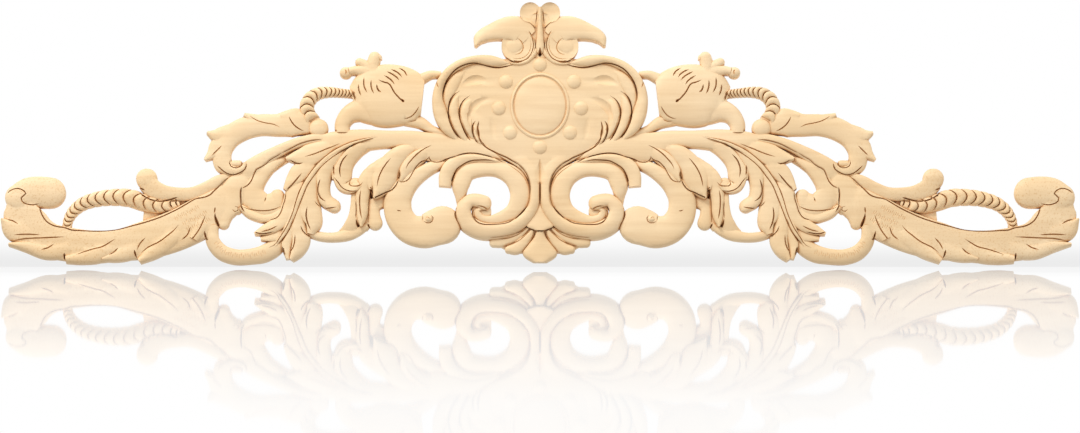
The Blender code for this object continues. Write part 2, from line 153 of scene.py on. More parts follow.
def sections(path, start, end):
    """Rows of (middle, direction, half width left, half width right, place, share of the swell)."""
    fine = np.linspace(0, 1, FINE_PLACES)
    line = flow(path, fine)
    step = np.diff(line[:, :2], axis=0)
    length = np.linalg.norm(step, axis=1)
    bearing = np.unwrap(np.arctan2(step[:, 1], step[:, 0]))
    turn = np.diff(bearing, prepend=bearing[0])
    bend = np.convolve(turn / length, np.ones(BEND_SPAN) / BEND_SPAN, mode="same")
    taper = np.arctan(np.diff(line[:, 2]) / 2 / length)
    flare = np.abs(np.diff(taper, prepend=taper[0]))
    need = np.cumsum(length / STROKE + (np.abs(turn) + flare / 2) / STROKE_TURN)
    need = np.concatenate(([0.0], need))
    count = max(4, int(round(need[-1])) + 1)
    places = np.interp(np.linspace(0, need[-1], count), need, fine)
    middle = flow(path, places)
    ahead = headings(path, places, 1 / FINE_PLACES)
    bend = np.interp(places, fine[:-1], bend)
    rows = []
    for spot, way, turned, place in zip(middle, ahead, bend, places):
        half = max(spot[2] / 2, THINNEST_HALF)
        left = min(half, INNER_LIMIT / turned) if turned > 0 else half
        right = min(half, -INNER_LIMIT / turned) if turned < 0 else half
        rows.append((spot[:2], way, left, right, place, 1.0))
    for side, wanted in ((0, start), (-1, end)):
        if wanted == "round":
            spot, way, left, right, place, _ = rows[side]
            outward = way if side == -1 else -way
            for angle in ROUND_END:
                centre = spot + outward * max(left, right) * np.sin(angle)
                shrink = np.cos(angle)
                row = (centre, way, left * shrink, right * shrink, place, shrink)
                rows.insert(len(rows) if side == -1 else 0, row)
    return rows


straight = sections([(0, 0, 9), (60, 0, 9)], "cut", "cut")
print("a straight stem of 60 steps has", len(straight), "sections")

# %% [markdown]
# ## One carved form
#
# Each leaf, rim and scroll is a band: an upright loft with vertical sawn sides and a crowned or
# hollow front. A curve with a bevel object would twist round the curls. A subdivided cage would
# round off the sawn edge. A loft keeps the edge crisp and gives each edge its own height, so that
# one leaf can lap over the next.
#
# An end is cut square, round, or sunk. A sunk end dives into the form that it grows from, so that
# no step shows where they meet. Every form starts at its own small distance behind the back, since
# faces that lie in one plane are hard for a Boolean.

# %% Lay a band on the board
half_board = bpy.data.collections.new("half board")
bpy.context.scene.collection.children.link(half_board)
BEHIND = 1.0
BEHIND_STEP = 0.03
SUNK_DEEP, SUNK_REACH, SUNK_SHARE = 4.5, 22.0, 0.4


def arc_places(count):
    """Places from -1 to 1 across a crown, closer together near its edges."""
    return np.sin(np.linspace(-np.pi / 2, np.pi / 2, count))


def next_behind():
    """The height, below zero, at which the next form starts behind the back."""
    return -BEHIND - BEHIND_STEP * len(half_board.objects)


def height_at(value, place):
    """A height that is one number, or several spread evenly along the line."""
    if np.isscalar(value):
        return float(value)
    return float(np.interp(place, np.linspace(0, 1, len(value)), value))


def sunk(place, path, start, end):
    """How deep a form dips into its neighbours near a sunk end, in millimetres."""
    long = np.linalg.norm(np.diff(np.array(path)[:, :2], axis=0), axis=1).sum()
    reach = min(SUNK_SHARE, SUNK_REACH / long)
    gaps = [place] * (start == "sunk") + [1 - place] * (end == "sunk")
    return sum(SUNK_DEEP * max(0.0, 1 - gap / reach) ** 2 for gap in gaps)


def add_form(points, faces):
    """A closed mesh whose faces point outwards, in the half board's collection."""
    mesh = bpy.data.meshes.new("form")
    mesh.from_pydata(points, [], faces)
    build = bmesh.new()
    build.from_mesh(mesh)
    bmesh.ops.recalc_face_normals(build, faces=build.faces)
    build.to_mesh(mesh)
    build.free()
    form = bpy.data.objects.new(f"form_{len(half_board.objects):03d}", mesh)
    half_board.objects.link(form)
    return form


def loft(loops):
    """A closed mesh through loops of the same number of points."""
    size = len(loops[0])
    points = [point for loop in loops for point in loop]
    faces = [tuple(range(size)), tuple(reversed(range(len(points) - size, len(points))))]
    for row in range(len(loops) - 1):
        for i in range(size):
            j = (i + 1) % size
            a, b = row * size, (row + 1) * size
            faces.append((a + i, b + i, b + j, a + j))
    return add_form(points, faces)


BAND_POINTS = 11


def band(path, left, crown, right, start="cut", end="cut", fullness=2.0):
    """One carved form along a path of (out, up, width), with its own edge and crown heights."""
    behind = next_behind()
    loops = []
    for middle, way, left_half, right_half, place, shrink in sections(path, start, end):
        side = np.array((-way[1], way[0]))
        dip = sunk(place, path, start, end)
        left_height, right_height = height_at(left, place) - dip, height_at(right, place) - dip
        lift = height_at(crown, place) - dip - (left_height + right_height) / 2
        loop = [on_board(*(middle + side * left_half), behind)]
        for across in arc_places(BAND_POINTS):
            swell = (1 - abs(across) ** fullness) ** (1 / fullness) if lift > 0 else 1 - across**2
            edge = left_height + (right_height - left_height) * (across + 1) / 2
            half = left_half if across < 0 else right_half
            loop.append(on_board(*(middle - side * across * half), edge + lift * swell * shrink))
        loop.append(on_board(*(middle - side * right_half), behind))
        loops.append(loop)
    return loft(loops)


def knob(out, up, width, height, side):
    """A round button-like end, domed in front."""
    return band([(out - 0.4, up, width), (out + 0.4, up, width)], side, height, side, "round", "round")


print("a band is lofted with", BAND_POINTS, "points across its front")

# %% [markdown]
# ## The crest
#
# A little palmette stands on top: a middle rib, two rounded lobes whose faces are hollowed with a
# spoon gouge, and two side leaves that curl in to round eyes. A hollow is a band whose crown lies
# lower than its edges, so the same loft makes it.

# %% Carve the crest


def crest():
    band([(0, 257, 8), (0, 250, 16), (0, 236, 30), (0, 218, 38), (0, 204, 40)], 12.3, 12.3, 12.3)
    band([(3.5, 240, 3), (6, 246.5, 10), (9.5, 252.6, 20.3), (9.8, 254.2, 20.8)],
         15, 12, 14.5, end="round")
    band([(64, 222, 4), (61.5, 227.5, 11), (56, 232, 14), (48, 235, 17), (38, 237.5, 22), (28, 238.5, 25),
          (18, 235.5, 26), (11.5, 229, 18)], (12, 13, 13.5), (15, 17, 14), (10, 12, 13.5), start="round")
    knob(21.8, 220.8, 32.6, 13.2, 14.6)
    band([(23.8, 221.8, 14), (26.8, 220.4, 15)], 13, 14.5, 13, "round", "round")
    band([(0, 260, 3), (0, 250, 4), (0, 240, 5.5), (0, 228, 7), (0, 218, 9), (0, 213.5, 6)], 13, PROUD, 13)
    band([(1.5, 228, 5), (3.3, 218.5, 5.5), (7, 211, 5.5), (13, 205.3, 4.8), (22, 202.6, 3.5),
          (30, 203, 1.5)], 12, 14.8, 12, "sunk")


crest()

# %% [markdown]
# ## The cartouche, its medallion and its pearls
#
# The heart-shaped plate is gently domed and edged by a rolling rim, with comma-shaped lobes beside
# it. The oval medallion was turned on a lathe or cut as if it were, so it is one profile revolved
# and then stretched upright. The pearls are small domes cut with a beading punch: flattened spheres
# sunk in the plate.

# %% Carve the cartouche
MEDALLION_STEPS = 96
MEDALLION_PROFILE = (
    (0, 4), (1.0, 4), (1.0, 12.6), (0.985, 13.6), (0.955, 14.3), (0.925, 14.4), (0.9, 13.9),
    (0.885, 13.1), (0.87, 12.9), (0.855, 13.5), (0.82, 14.0), (0.6, 14.7), (0.3, 15.2), (0, 15.4),
)


def medallion(half_wide, half_high):
    """The oval disc with its raised ring: a revolved profile, stretched upright."""
    points = []
    for turned in np.arange(MEDALLION_STEPS) * 2 * np.pi / MEDALLION_STEPS:
        for share, height in MEDALLION_PROFILE[1:-1]:
            reach = (share * half_wide * np.cos(turned), share * half_high * np.sin(turned))
            points.append(on_board(reach[0], MEDALLION_UP + reach[1], height))
    back, front = len(points), len(points) + 1
    points += [on_board(0, MEDALLION_UP, MEDALLION_PROFILE[0][1])]
    points += [on_board(0, MEDALLION_UP, MEDALLION_PROFILE[-1][1])]
    ring = len(MEDALLION_PROFILE) - 2
    faces = []
    for i in range(MEDALLION_STEPS):
        a, b = i * ring, (i + 1) % MEDALLION_STEPS * ring
        faces.append((back, a, b))
        faces.append((front, b + ring - 1, a + ring - 1))
        faces += [(a + k, a + k + 1, b + k + 1, b + k) for k in range(ring - 1)]
    return add_form(points, faces)


PEARL_MERIDIANS, PEARL_RINGS = 28, 18
PEARLS = (0, 201.5), (34, 184.3), (41, 157.6), (29.8, 133), (0, 118.2)


def pearl(out, up, width, seat, rise):
    """A low round pearl standing on the plate."""
    build = bmesh.new()
    bmesh.ops.create_uvsphere(build, u_segments=PEARL_MERIDIANS, v_segments=PEARL_RINGS, radius=1.0)
    radius = width / 2 * STEP
    bmesh.ops.scale(build, vec=(radius, 0.001 * rise, radius), verts=build.verts)
    bmesh.ops.translate(build, vec=on_board(out, up, seat), verts=build.verts)
    mesh = bpy.data.meshes.new("pearl")
    build.to_mesh(mesh)
    build.free()
    half_board.objects.link(bpy.data.objects.new(f"form_{len(half_board.objects):03d}", mesh))


def cartouche():
    band([(0, 208, 70), (0, 203, 140), (0, 195, 176), (0, 180, 198), (0, 158, 198), (0, 135, 166),
          (0, 112, 92), (0, 97, 42), (0, 84, 22)], GROUND, 13.2, GROUND, fullness=2.6)
    band([(28, 202.8, 2), (37, 203.5, 7.5), (48, 204.8, 12), (66, 206.5, 8.5), (80, 202, 9.5),
          (93, 192.2, 9.5), (100.5, 180, 9), (102.3, 168, 11), (99.5, 153, 14), (92, 137.5, 12.5),
          (82, 126, 6)], 13, TOP, 11, "sunk", "sunk")
    band([(68, 197, 2), (79, 192.5, 9), (87, 182, 13), (92.5, 168, 10), (93, 153, 5)],
         11, HIGH, 11, "sunk", "sunk")
    band([(77, 174.5, 3), (84, 166, 8), (85.8, 156, 11), (83.5, 144, 11), (77, 131, 9), (70, 121, 4)],
         12, 15, 10, "sunk", "sunk")
    band([(64, 170, 4), (72.5, 160, 11), (74, 149, 13), (71.5, 138, 10), (65, 125, 4)],
         12, 15, 10, "sunk", "sunk")
    band([(63.5, 145, 2), (64.8, 136, 5), (62, 127, 5), (54, 117.5, 4)], 12, HIGH, 10, "sunk", "sunk")
    medallion(30, 34)
    for out, up in PEARLS:
        pearl(out, up, 16.5, 10.6, 4.9)


cartouche()

# %% [markdown]
# ## Scrolls and the shell foot
#
# Below the heart a thin S-shaped rim runs down the middle, turns under a flat C-scroll and curls up
# in its opening. Outside it hangs the big C-scroll with its bulb. Every scroll is one band whose
# steps follow the curl, so its width swells and dies away as a drawn one does.

# %% Carve the scrolls and the shell


def inner_scroll():
    band([(36, 114, 4), (25.5, 109.3, 9), (17, 104.5, 12), (10.9, 99, 13), (6.2, 88, 12), (4.8, 74, 10.5),
          (6, 61, 11), (14, 47, 12), (28, 37.5, 14), (46, 33.5, 16), (62, 35.5, 17), (74, 44, 17),
          (76.5, 56, 15), (69.5, 64.8, 13), (61, 64.5, 14), (56, 62.5, 15)],
         13, (13, 14.5, PROUD, PROUD, PROUD, PROUD), (12, 11, 11), "sunk", "round")
    band([(80, 61, 6), (79.5, 70, 11), (79.5, 81, 17.5), (73.5, 93, 17), (58, 98, 16), (41, 96.8, 16),
          (25.5, 88, 20), (19.3, 72, 21), (25, 55, 18), (40, 46, 14), (53, 44.5, 10), (61, 48, 9),
          (62.5, 54.5, 7), (57.5, 57.5, 4)], 11.5, HIGH, 10, "sunk")
    knob(58.5, 54, 19, 12, 11)
    band([(34, 103, 3), (50, 105, 7), (64, 107, 9), (79, 104.5, 12), (89, 98.5, 15), (93.8, 90, 14),
          (94.8, 79, 12.5)], 12.5, 15, 10.5, "sunk")


def shell_foot():
    band([(0, 40, 20), (0, 31, 72), (0, 24.5, 101), (0, 18, 76), (0, 12.5, 58)], LOW, GROUND, LOW)
    band([(0, 77, 2), (0, 66, 5), (0, 58, 9), (0, 50, 18), (0, 44, 25), (0, 39, 27), (0, 36.5, 20),
          (0, 34.5, 8)],
         (9, 11, 12.5), (9.5, 12.5, 14.5), (9, 11, 12.5))
    band([(0, 37, 6), (0, 27, 13.5), (0, 18.5, 27.5), (0, 12.5, 34.5), (0, 7, 27), (0, 3, 13)],
         GROUND, 13, GROUND)
    band([(7, 36, 3), (11, 29, 8), (17, 22.5, 12), (25, 16.8, 11.5), (31.5, 15.8, 7)],
         GROUND, 12, GROUND, end="round")
    band([(12, 37, 3), (20, 31.5, 8), (30, 27, 11), (40, 24, 11.5), (46, 23, 9)],
         GROUND, 11.3, GROUND, end="round")


def big_scroll():
    band([(90, 103, 7), (107, 99, 12), (120, 91.5, 15), (133, 81, 21), (141.8, 66, 27), (140.5, 50, 28),
          (130, 37, 29), (116, 34, 32), (104, 38.5, 36), (97.5, 40.8, 37.5)],
         GROUND, 13.5, GROUND, "sunk", "round", fullness=2.4)
    knob(111, 46, 8, 14.8, GROUND)


inner_scroll()
shell_foot()
big_scroll()

# %% [markdown]
# ## The stem and its leaves
#
# One stem leaves the heart and runs the whole length of the wing. Short leaves fall from its lower
# edge, each lapping over the next, and a small volute hangs in the opening behind them. The thin
# connecting webs lie deep, close to the back, and only tie the forms together.

# %% Carve the stem and the leaves below it


def stem():
    band([(36, 106, 3), (50, 112, 10), (63, 117, 19), (78, 119, 21), (93, 118.5, 28), (108, 119, 30),
          (128, 125.5, 20), (152, 126.8, 17.5), (180, 126, 21.5), (206, 124.5, 20), (228, 122, 15)],
         GROUND, 13, GROUND, "sunk", "sunk", fullness=2.4)
    band([(205, 127, 14), (230, 126, 11), (246, 121.5, 11), (262, 114.5, 12), (275, 107, 15),
          (289, 96, 20), (300, 84, 22)], 10.5, 12.5, GROUND, "sunk", "sunk")
    band([(245, 113, 8), (262, 106, 14), (278, 96, 18), (290, 84, 14)], WEB, WEB, WEB)


def stem_leaves():
    band([(106, 119, 6), (118, 110.5, 14), (128, 102.5, 16), (134, 94.5, 13.5), (137.3, 88, 9),
          (139.3, 84, 4)], 12.5, 14.5, 10, "sunk")
    band([(122, 118, 10), (138, 111, 20), (149, 100, 24), (155, 88, 27), (158.5, 79, 22), (162, 72, 11.5),
          (165.3, 66.8, 3)], 12, 15.5, GROUND, "sunk")
    band([(148, 112, 4), (160, 100, 13), (167, 91, 18), (169, 81, 12), (169.5, 76, 4)],
         11, HIGH, 10, "sunk")
    band([(158, 102, 6), (170, 91, 15), (176.5, 77, 15), (177.8, 64, 13), (177.7, 52, 11.5), (178.3, 44, 7.5),
          (178.5, 38.5, 2)], 11, HIGH, 10, "sunk")
    band([(178, 82, 8), (181.8, 73, 12), (183, 60, 12.5), (185.2, 47, 13.5), (190.5, 37.5, 13), (199, 31, 8)],
         11, 12, GROUND, "sunk", "sunk")
    band([(177, 66, 10), (175.5, 54, 14), (175, 44, 15), (177, 36, 9)], WEB, LOW, WEB)
    band([(170, 42, 5), (179, 37, 10), (190, 32, 12), (204, 28.5, 9.5), (218, 29, 9), (232, 33, 8)],
         (7, LOW, LOW), (8.5, 11, 11), (7, LOW, LOW))
    band([(141, 93, 6), (149, 80, 14), (160, 68, 24), (166, 58, 13), (166, 51, 12.5), (164.5, 43, 14.5)],
         (5.5, 5.5, 7, 7.5), (6, 6.5, 9, 10), (5.5, 5.5, 7, 7.5), end="round")
    band([(166, 123, 7), (184, 114, 14), (193.5, 103, 16), (197.5, 90.5, 19), (195, 80, 14),
          (187, 78, 11), (181, 82, 9)], 13.5, HIGH, 10, "sunk")
    knob(184.5, 81.5, 13, HIGH - 2, GROUND)
    band([(190, 116, 4), (201, 104, 9), (204, 93, 9), (206, 86, 4)], 12, 13.5, 12, "sunk")


stem()
stem_leaves()

# %% [markdown]
# ## The main drop leaf and its bowl
#
# The largest leaf sweeps down from the stem round a pair of fine parallel lines. Its lobes alternate
# left and right of them like the fingers of a hand, and on its outer side a bowl-shaped scroll and
# a thin C-scroll close the opening.

# %% Carve the drop leaf and the bowl


def drop_leaf():
    band([(158, 129.5, 1.5), (190, 121.3, 4), (213, 107.5, 5), (229, 90, 5.5), (240, 68, 5.5), (249, 46, 5),
          (258, 28, 5), (268, 18, 3)], 13.6, 14.9, 13.6, "sunk", "sunk")
    band([(200, 121, 8), (218, 116, 18), (233, 109.5, 22), (246, 108, 11), (254, 107, 3)],
         11.5, 14.5, 12.5, "sunk")
    band([(219, 107, 8), (231, 99.5, 16), (240, 93, 19), (247.5, 84.5, 14), (254.5, 75.5, 5)],
         12, 14.5, 12, "sunk")
    band([(234, 90, 8), (245, 75, 16), (250, 60, 16), (255, 48, 16), (265, 39.5, 14), (276, 34.5, 10),
          (285, 31.3, 3)], 11.5, 14.5, 12.5, "sunk")
    band([(254, 42, 12), (264, 31, 14), (272, 28, 9), (279, 26.5, 4)], 10, 12.5, 12, "sunk")
    band([(190, 118, 4), (206, 105, 15), (215, 92, 17), (216.2, 78, 13), (213.5, 65, 14),
          (205.5, 59.5, 13)], 12.5, 14.5, GROUND, "sunk", "round")
    band([(214, 103, 8), (226, 86, 15), (230.5, 68, 21), (229, 54, 22), (226, 42, 17), (229, 31, 7)],
         12.5, 14, 10, "sunk")
    band([(233, 73, 6), (240, 54, 11), (240.5, 38, 16), (238.3, 25, 18), (242.5, 13, 13), (248, 5, 5)],
         12.5, HIGH, GROUND, "sunk")
    band([(244, 52, 4), (248, 34, 11), (252.5, 20, 11), (251, 6, 5)], 12, 13.5, 10, "sunk")
    band([(254, 36, 12), (264, 19, 17), (275, 12, 17), (289, 9, 15), (304, 8.5, 15), (318, 13.5, 15),
          (326.5, 24, 14), (327.5, 40, 12)], GROUND, 12.5, LOW, "sunk")


def bowl_scroll():
    band([(254, 108.5, 7), (265, 102.3, 10), (276, 93.5, 15), (284, 82, 18), (287.5, 73, 22),
          (287.5, 63, 23), (285, 52, 16)], LOW, 11.8, LOW, "sunk", "sunk", fullness=2.4)
    band([(288, 92, 11), (288, 78, 19), (284, 66.5, 24), (276, 59.5, 24.5), (268, 60, 25), (265, 61, 25)],
         LOW, 12.2, LOW, "sunk", "round", fullness=2.4)
    band([(262, 54, 16), (263, 62, 17), (262.3, 69, 15)], LOW, 12.2, LOW, "sunk", "round", fullness=2.4)
    band([(299, 59, 6), (290, 52.5, 10), (282.5, 49.5, 10.5), (275, 48, 11), (266, 50, 11), (257, 57, 8)],
         10.5, 12.3, LOW)
    knob(302.5, 56, 9, 11, LOW)


drop_leaf()
bowl_scroll()

# %% [markdown]
# ## The hook leaf and the flower
#
# Above the stem a pointed leaf bends over and ends in a small volute, and between it and the heart
# stands a tulip-like flower in profile, with three curled petal tips. The flower's belly is one
# wide, full dome: a fullness of a little over two makes its sides steeper than an ellipse.

# %% Carve the hook leaf and the flower


def hook_leaf():
    band([(226, 136, 10), (246, 143.5, 27), (262, 141.5, 22), (280, 141.5, 21), (297, 137.5, 22),
          (312, 127, 21), (318, 113, 19), (316, 101, 18), (309, 95.5, 12), (302, 95, 9), (296.5, 98, 7),
          (294.5, 103, 4)], GROUND, 12.5, GROUND, "sunk")
    band([(236, 149, 16), (247, 150.5, 15), (259, 150, 6)], GROUND, 12, 10, "sunk")
    band([(268, 143, 12), (283, 146.5, 11), (296, 151.5, 4)], GROUND, 12, 10, "sunk")
    band([(298, 139, 14), (315, 132.5, 16), (325, 131, 12), (333, 133.5, 3)], GROUND, 12, 10, "sunk")
    band([(311, 128, 14), (322, 120, 17), (328, 112, 11), (335, 106, 3)], GROUND, 12, 10, "sunk")
    band([(300.8, 102, 7.5), (306.8, 102, 7.5)], LOW, 11.5, LOW, "round", "round")


def flower():
    band([(117.5, 168.5, 36), (122, 169, 46), (130, 170, 55), (144, 171, 62), (161, 170.5, 62),
          (175, 169, 52), (187, 166, 30)], GROUND, PROUD - 0.5, GROUND, end="sunk", fullness=2.2)
    band([(140, 190, 14), (163, 194, 16), (177, 196, 14), (187, 196.3, 9), (191, 195.5, 8.5)],
         LOW, 12.5, LOW)
    knob(194.3, 194.2, 11.5, 12.5, LOW)
    band([(166, 195, 13), (167, 202, 13.5), (165.5, 209.3, 12.5)], LOW, 13, LOW, end="round")
    band([(164, 211, 6), (160.5, 210, 4.5), (159.3, 207.3, 2.5)], LOW, 11, LOW)
    band([(170, 199, 12), (180.5, 204.7, 9)], LOW, 12, LOW, end="round")
    band([(130, 184, 14), (119, 188, 11), (109, 192.3, 8.5), (99, 192, 7)], LOW, 12, LOW)
    band([(121, 157, 5), (126, 151, 11), (136, 149.5, 15), (150, 150.5, 19), (166, 154, 24), (182, 156, 22),
          (192, 151, 18), (197.5, 142, 15.5), (197.5, 133.5, 15)], LOW, 13.2, LOW, fullness=2.4)
    band([(134, 148, 14), (120, 144, 12), (108, 136.5, 9), (92, 131.5, 8)], LOW, 11.5, LOW)


hook_leaf()
flower()

# %% [markdown]
# ## The wing
#
# The wing is a long acanthus leaf that runs out to a curled bulb. Its lower lobes are short bands
# laid over the edge, their tips free, so the outline is notched like a real leaf. Beside it lies a
# plain tendril that ends in a knob.

# %% Carve the wing


def knob_tendril():
    band([(306, 92, 5), (321, 84.5, 12), (333, 77, 14), (347, 71.5, 14), (362, 71.5, 13), (377, 73, 16),
          (388, 78, 19), (393, 84, 19)], 11, 12.5, GROUND, "sunk")
    knob(393, 87, 20.5, 13, GROUND)


def wing():
    band([(290, 98, 8), (300, 84, 22), (308, 70, 27), (313, 58, 25), (315.5, 50, 18.5), (316, 42.5, 12)],
         GROUND, 12, GROUND, "sunk", "round")
    band([(306, 76, 22), (321, 62, 31), (338, 48.5, 40), (356, 38.5, 40), (376, 30.5, 39), (396, 25, 37),
          (420, 20.5, 31), (445, 18.5, 32), (470, 21, 33), (492, 26, 35), (508, 36, 42), (517, 49, 38),
          (522, 62, 28), (527, 70, 12)], MIDDLE, 13, GROUND, "sunk", fullness=2.6)
    band([(332, 52, 16), (340, 38, 18), (346, 26, 11)], GROUND, 13.5, GROUND, "sunk")
    band([(352, 42, 12), (368, 28, 20), (386, 14, 16), (400, 4, 6)], GROUND, HIGH, GROUND, "sunk")
    band([(390, 29, 12), (408, 16, 19), (424, 9.5, 13), (437, 6, 4)], GROUND, 13.5, GROUND, "sunk")
    band([(418, 27, 12), (438, 13.5, 20), (457, 8, 14), (473.5, 6, 8)], GROUND, HIGH, GROUND, "sunk")
    band([(455, 27, 12), (474, 18, 20), (492, 14.5, 17), (512, 19, 12), (530.5, 21, 3)],
         GROUND, 13.5, GROUND, "sunk")
    band([(495, 34, 18), (515, 33.5, 25), (528, 37.5, 21), (538, 46.5, 2)], GROUND, 13.5, GROUND, "sunk")
    band([(521, 68, 27), (511, 73, 30), (499, 73.5, 31.5), (489, 73, 30.5)],
         GROUND, 15, GROUND, "round", "round")


knob_tendril()
wing()

# %% [markdown]
# ## The ribbed tendrils
#
# Two tendrils are cut into a row of overlapping ribs, like the back of a shrimp. Thirty small forms
# would do it, but one loft is simpler: its sections bow towards the root, and its height rises and
# dips once for every rib, with the ribs spaced wider where the tendril is thicker. A plain, narrower
# band under the ribs carries them.

# %% Space the ribs
RIBS_CLOSE_UP = 3.5


def rib_places(path, share):
    """Places of the notches along a tendril: the wider it is, the further they lie apart."""
    fine = np.linspace(0, 1, FINE_PLACES)
    line = flow(path, fine)
    length = np.linalg.norm(np.diff(line[:, :2], axis=0), axis=1)
    ribs = np.concatenate(([0.0], np.cumsum(length / (share * (line[1:, 2] - RIBS_CLOSE_UP)))))
    return np.interp(np.arange(int(ribs[-1]) + 1), ribs, fine)


print("ribs on a straight tendril of 100 steps:", len(rib_places([(0, 0, 12), (100, 0, 12)], 0.8)) - 1)

# %% Carve the ribbed tendrils
RIB_MOMENTS = (0.0, 0.07, 0.2, 0.45, 0.7, 0.9)
RIB_HEIGHTS = (-1.0, 0.35, 0.85, 1.0, 0.75, 0.2)
RIB_POINTS = 9
RIB_STANDS_OUT = 0.35
RIB_NEAR = 0.01
EDGE_DIP = 0.4


def ribbed(path, edge, crown, dip, bow, share):
    """A tendril cut into bowed ribs: dip is how deep the notches are, bow how far the ribs curve."""
    notches = rib_places(path, share)
    places, lifts = [], []
    for near, far in zip(notches, notches[1:]):
        for moment, lift in zip(RIB_MOMENTS, RIB_HEIGHTS):
            places.append(near + moment * (far - near))
            lifts.append(lift)
    places = np.array(places)
    behind = next_behind()
    loops = []
    for spot, way, lift in zip(flow(path, places), headings(path, places, RIB_NEAR), lifts):
        side = np.array((-way[1], way[0])) * (spot[2] / 2 + RIB_STANDS_OUT * lift)
        loop = [on_board(*(spot[:2] + side), behind)]
        for across in arc_places(RIB_POINTS):
            swell = np.sqrt(max(0.0, 1 - across**2))
            bowed = spot[:2] - side * across - way * bow * spot[2] * (1 - across**2)
            notch = dip * (lift - 1) / 2 * (EDGE_DIP + (1 - EDGE_DIP) * swell)
            height = edge + (crown - edge) * swell + notch
            loop.append(on_board(*bowed, height))
        loop.append(on_board(*(spot[:2] - side), behind))
        loops.append(loop)
    loft(loops)
    return len(notches) - 1


def narrower(path, less):
    """The same path of (out, up, width), with every width smaller."""
    return [(out, up, width - less) for out, up, width in path]


def tendrils():
    upper = [(184, 172.5, 8), (200, 174.2, 8.8), (212, 175, 10.4), (223.5, 173, 12.5), (231, 166.8, 14),
             (233.5, 158.5, 14.5), (230, 149.5, 15), (223, 141, 16)]
    band(narrower(upper, 2), LOW, 9, LOW)
    knob(221.5, 138, 19, 13, LOW)
    lower = [(471.5, 34, 10), (471.2, 45, 9.4), (467.2, 53.2, 9.2), (460.8, 60.2, 9.8), (451.5, 65, 11.8),
             (440, 67.8, 14.5), (426, 68.9, 16.4), (411, 67.8, 18), (397, 63.5, 18.5), (384, 60, 17),
             (372, 59, 14), (360, 61.5, 10)]
    band(narrower(lower, 2), LOW, 10, LOW)
    band([(396.5, 48, 14), (386, 47, 12), (366, 57, 14), (352, 63, 12), (340, 67, 6)], WEB, WEB, WEB)
    upper_ribs = ribbed(narrower(upper, 0.6), LOW, 12.7, 3.6, 0.3, 0.74)
    lower_ribs = ribbed(
        [(472.3, 34, 9), (471.8, 44, 9), (467.5, 53, 10.5), (458.3, 61.3, 12.2), (444, 66.6, 13.8),
         (427, 68.8, 15.4), (411, 68.2, 16.8), (394, 63, 16), (377, 59.3, 14), (362, 61.6, 9.5)],
        LOW, 13.2, 3.6, 0.42, 0.8)
    print("ribs on the upper and the lower tendril:", upper_ribs, lower_ribs)


tendrils()

# %% [markdown]
# ## One piece of wood
#
# The real ornament is one board, so the forms are joined into one closed body: a Boolean union over
# the whole collection. The Manifold solver is used because the forms overlap in many places at
# once. Each form reaches a little behind the back, and the saw cut that follows makes that flat.

# %% Join the forms and saw the back flat


def settled(thing):
    """The object's mesh with its modifiers applied."""
    graph = bpy.context.evaluated_depsgraph_get()
    mesh = bpy.data.meshes.new_from_object(thing.evaluated_get(graph))
    thing.modifiers.clear()
    thing.data = mesh
    return mesh


def whittle(thing, name, operation, operand):
    """Add a Boolean by one object or by a whole collection."""
    cut = thing.modifiers.new(name, "BOOLEAN")
    cut.operation = operation
    cut.solver = "MANIFOLD"
    if isinstance(operand, bpy.types.Collection):
        cut.operand_type = "COLLECTION"
        cut.collection = operand
    else:
        cut.object = operand


applique = half_board.objects[0]
applique.name = "carved_applique"
half_board.objects.unlink(applique)
bpy.context.scene.collection.objects.link(applique)
whittle(applique, "forms", "UNION", half_board)

bpy.ops.mesh.primitive_cube_add(size=1.0, location=(0.0, 0.5, 0.0))
saw = bpy.context.active_object
saw.name = "saw"
saw.scale = (2 * BOARD_LENGTH, 1.0, BOARD_LENGTH)
whittle(applique, "sawn flat", "DIFFERENCE", saw)
print("faces after the union:", len(settled(applique).polygons))

# %% [markdown]
# ## Gouge cuts
#
# Veins, petal folds and the dark lines where one leaf lies on another are cuts of a V-tool. They could be
# painted or put in a bump map, but then they would vanish from the side and from the mesh itself. So each is
# a thin wedge laid along a line. Rays from the front find how high the wood stands under it, and a Boolean
# takes all the wedges away at once. A lean of 1 or -1 makes the left or right wall upright and the other
# slope away, so that the upright side seems to lie on top.

# %% Feel how high the wood stands
wood_surface = BVHTree.FromObject(applique, bpy.context.evaluated_depsgraph_get())
gouge_cuts = bpy.data.collections.new("gouge cuts")
bpy.context.scene.collection.children.link(gouge_cuts)
IN_FRONT = 40.0


def wood_height(out, up):
    """How high the wood stands at a point of the drawing, in millimetres, or None over an opening."""
    start = Vector(on_board(out, up, IN_FRONT))
    place = wood_surface.ray_cast(start, Vector((0, 1, 0)))[0]
    return None if place is None else -1000 * place.y


def lay_aside(loops):
    """A cutter lofted through loops, kept apart from the forms of the board."""
    cut = loft(loops)
    half_board.objects.unlink(cut)
    cut.name = f"cut_{len(gouge_cuts.objects):03d}"
    gouge_cuts.objects.link(cut)


def unit_steps(line):
    """Unit directions along a row of points."""
    ahead = np.gradient(line, axis=0)
    return ahead / np.linalg.norm(ahead, axis=1, keepdims=True)


print("the wood stands", round(wood_height(20, 160), 1), "mm high beside the medallion's centre")

# %% Lay out a gouge cut
GOUGE_STROKE = 3.0
GOUGE_CLEAR = 1.6
GOUGE_FAINTEST = 0.12


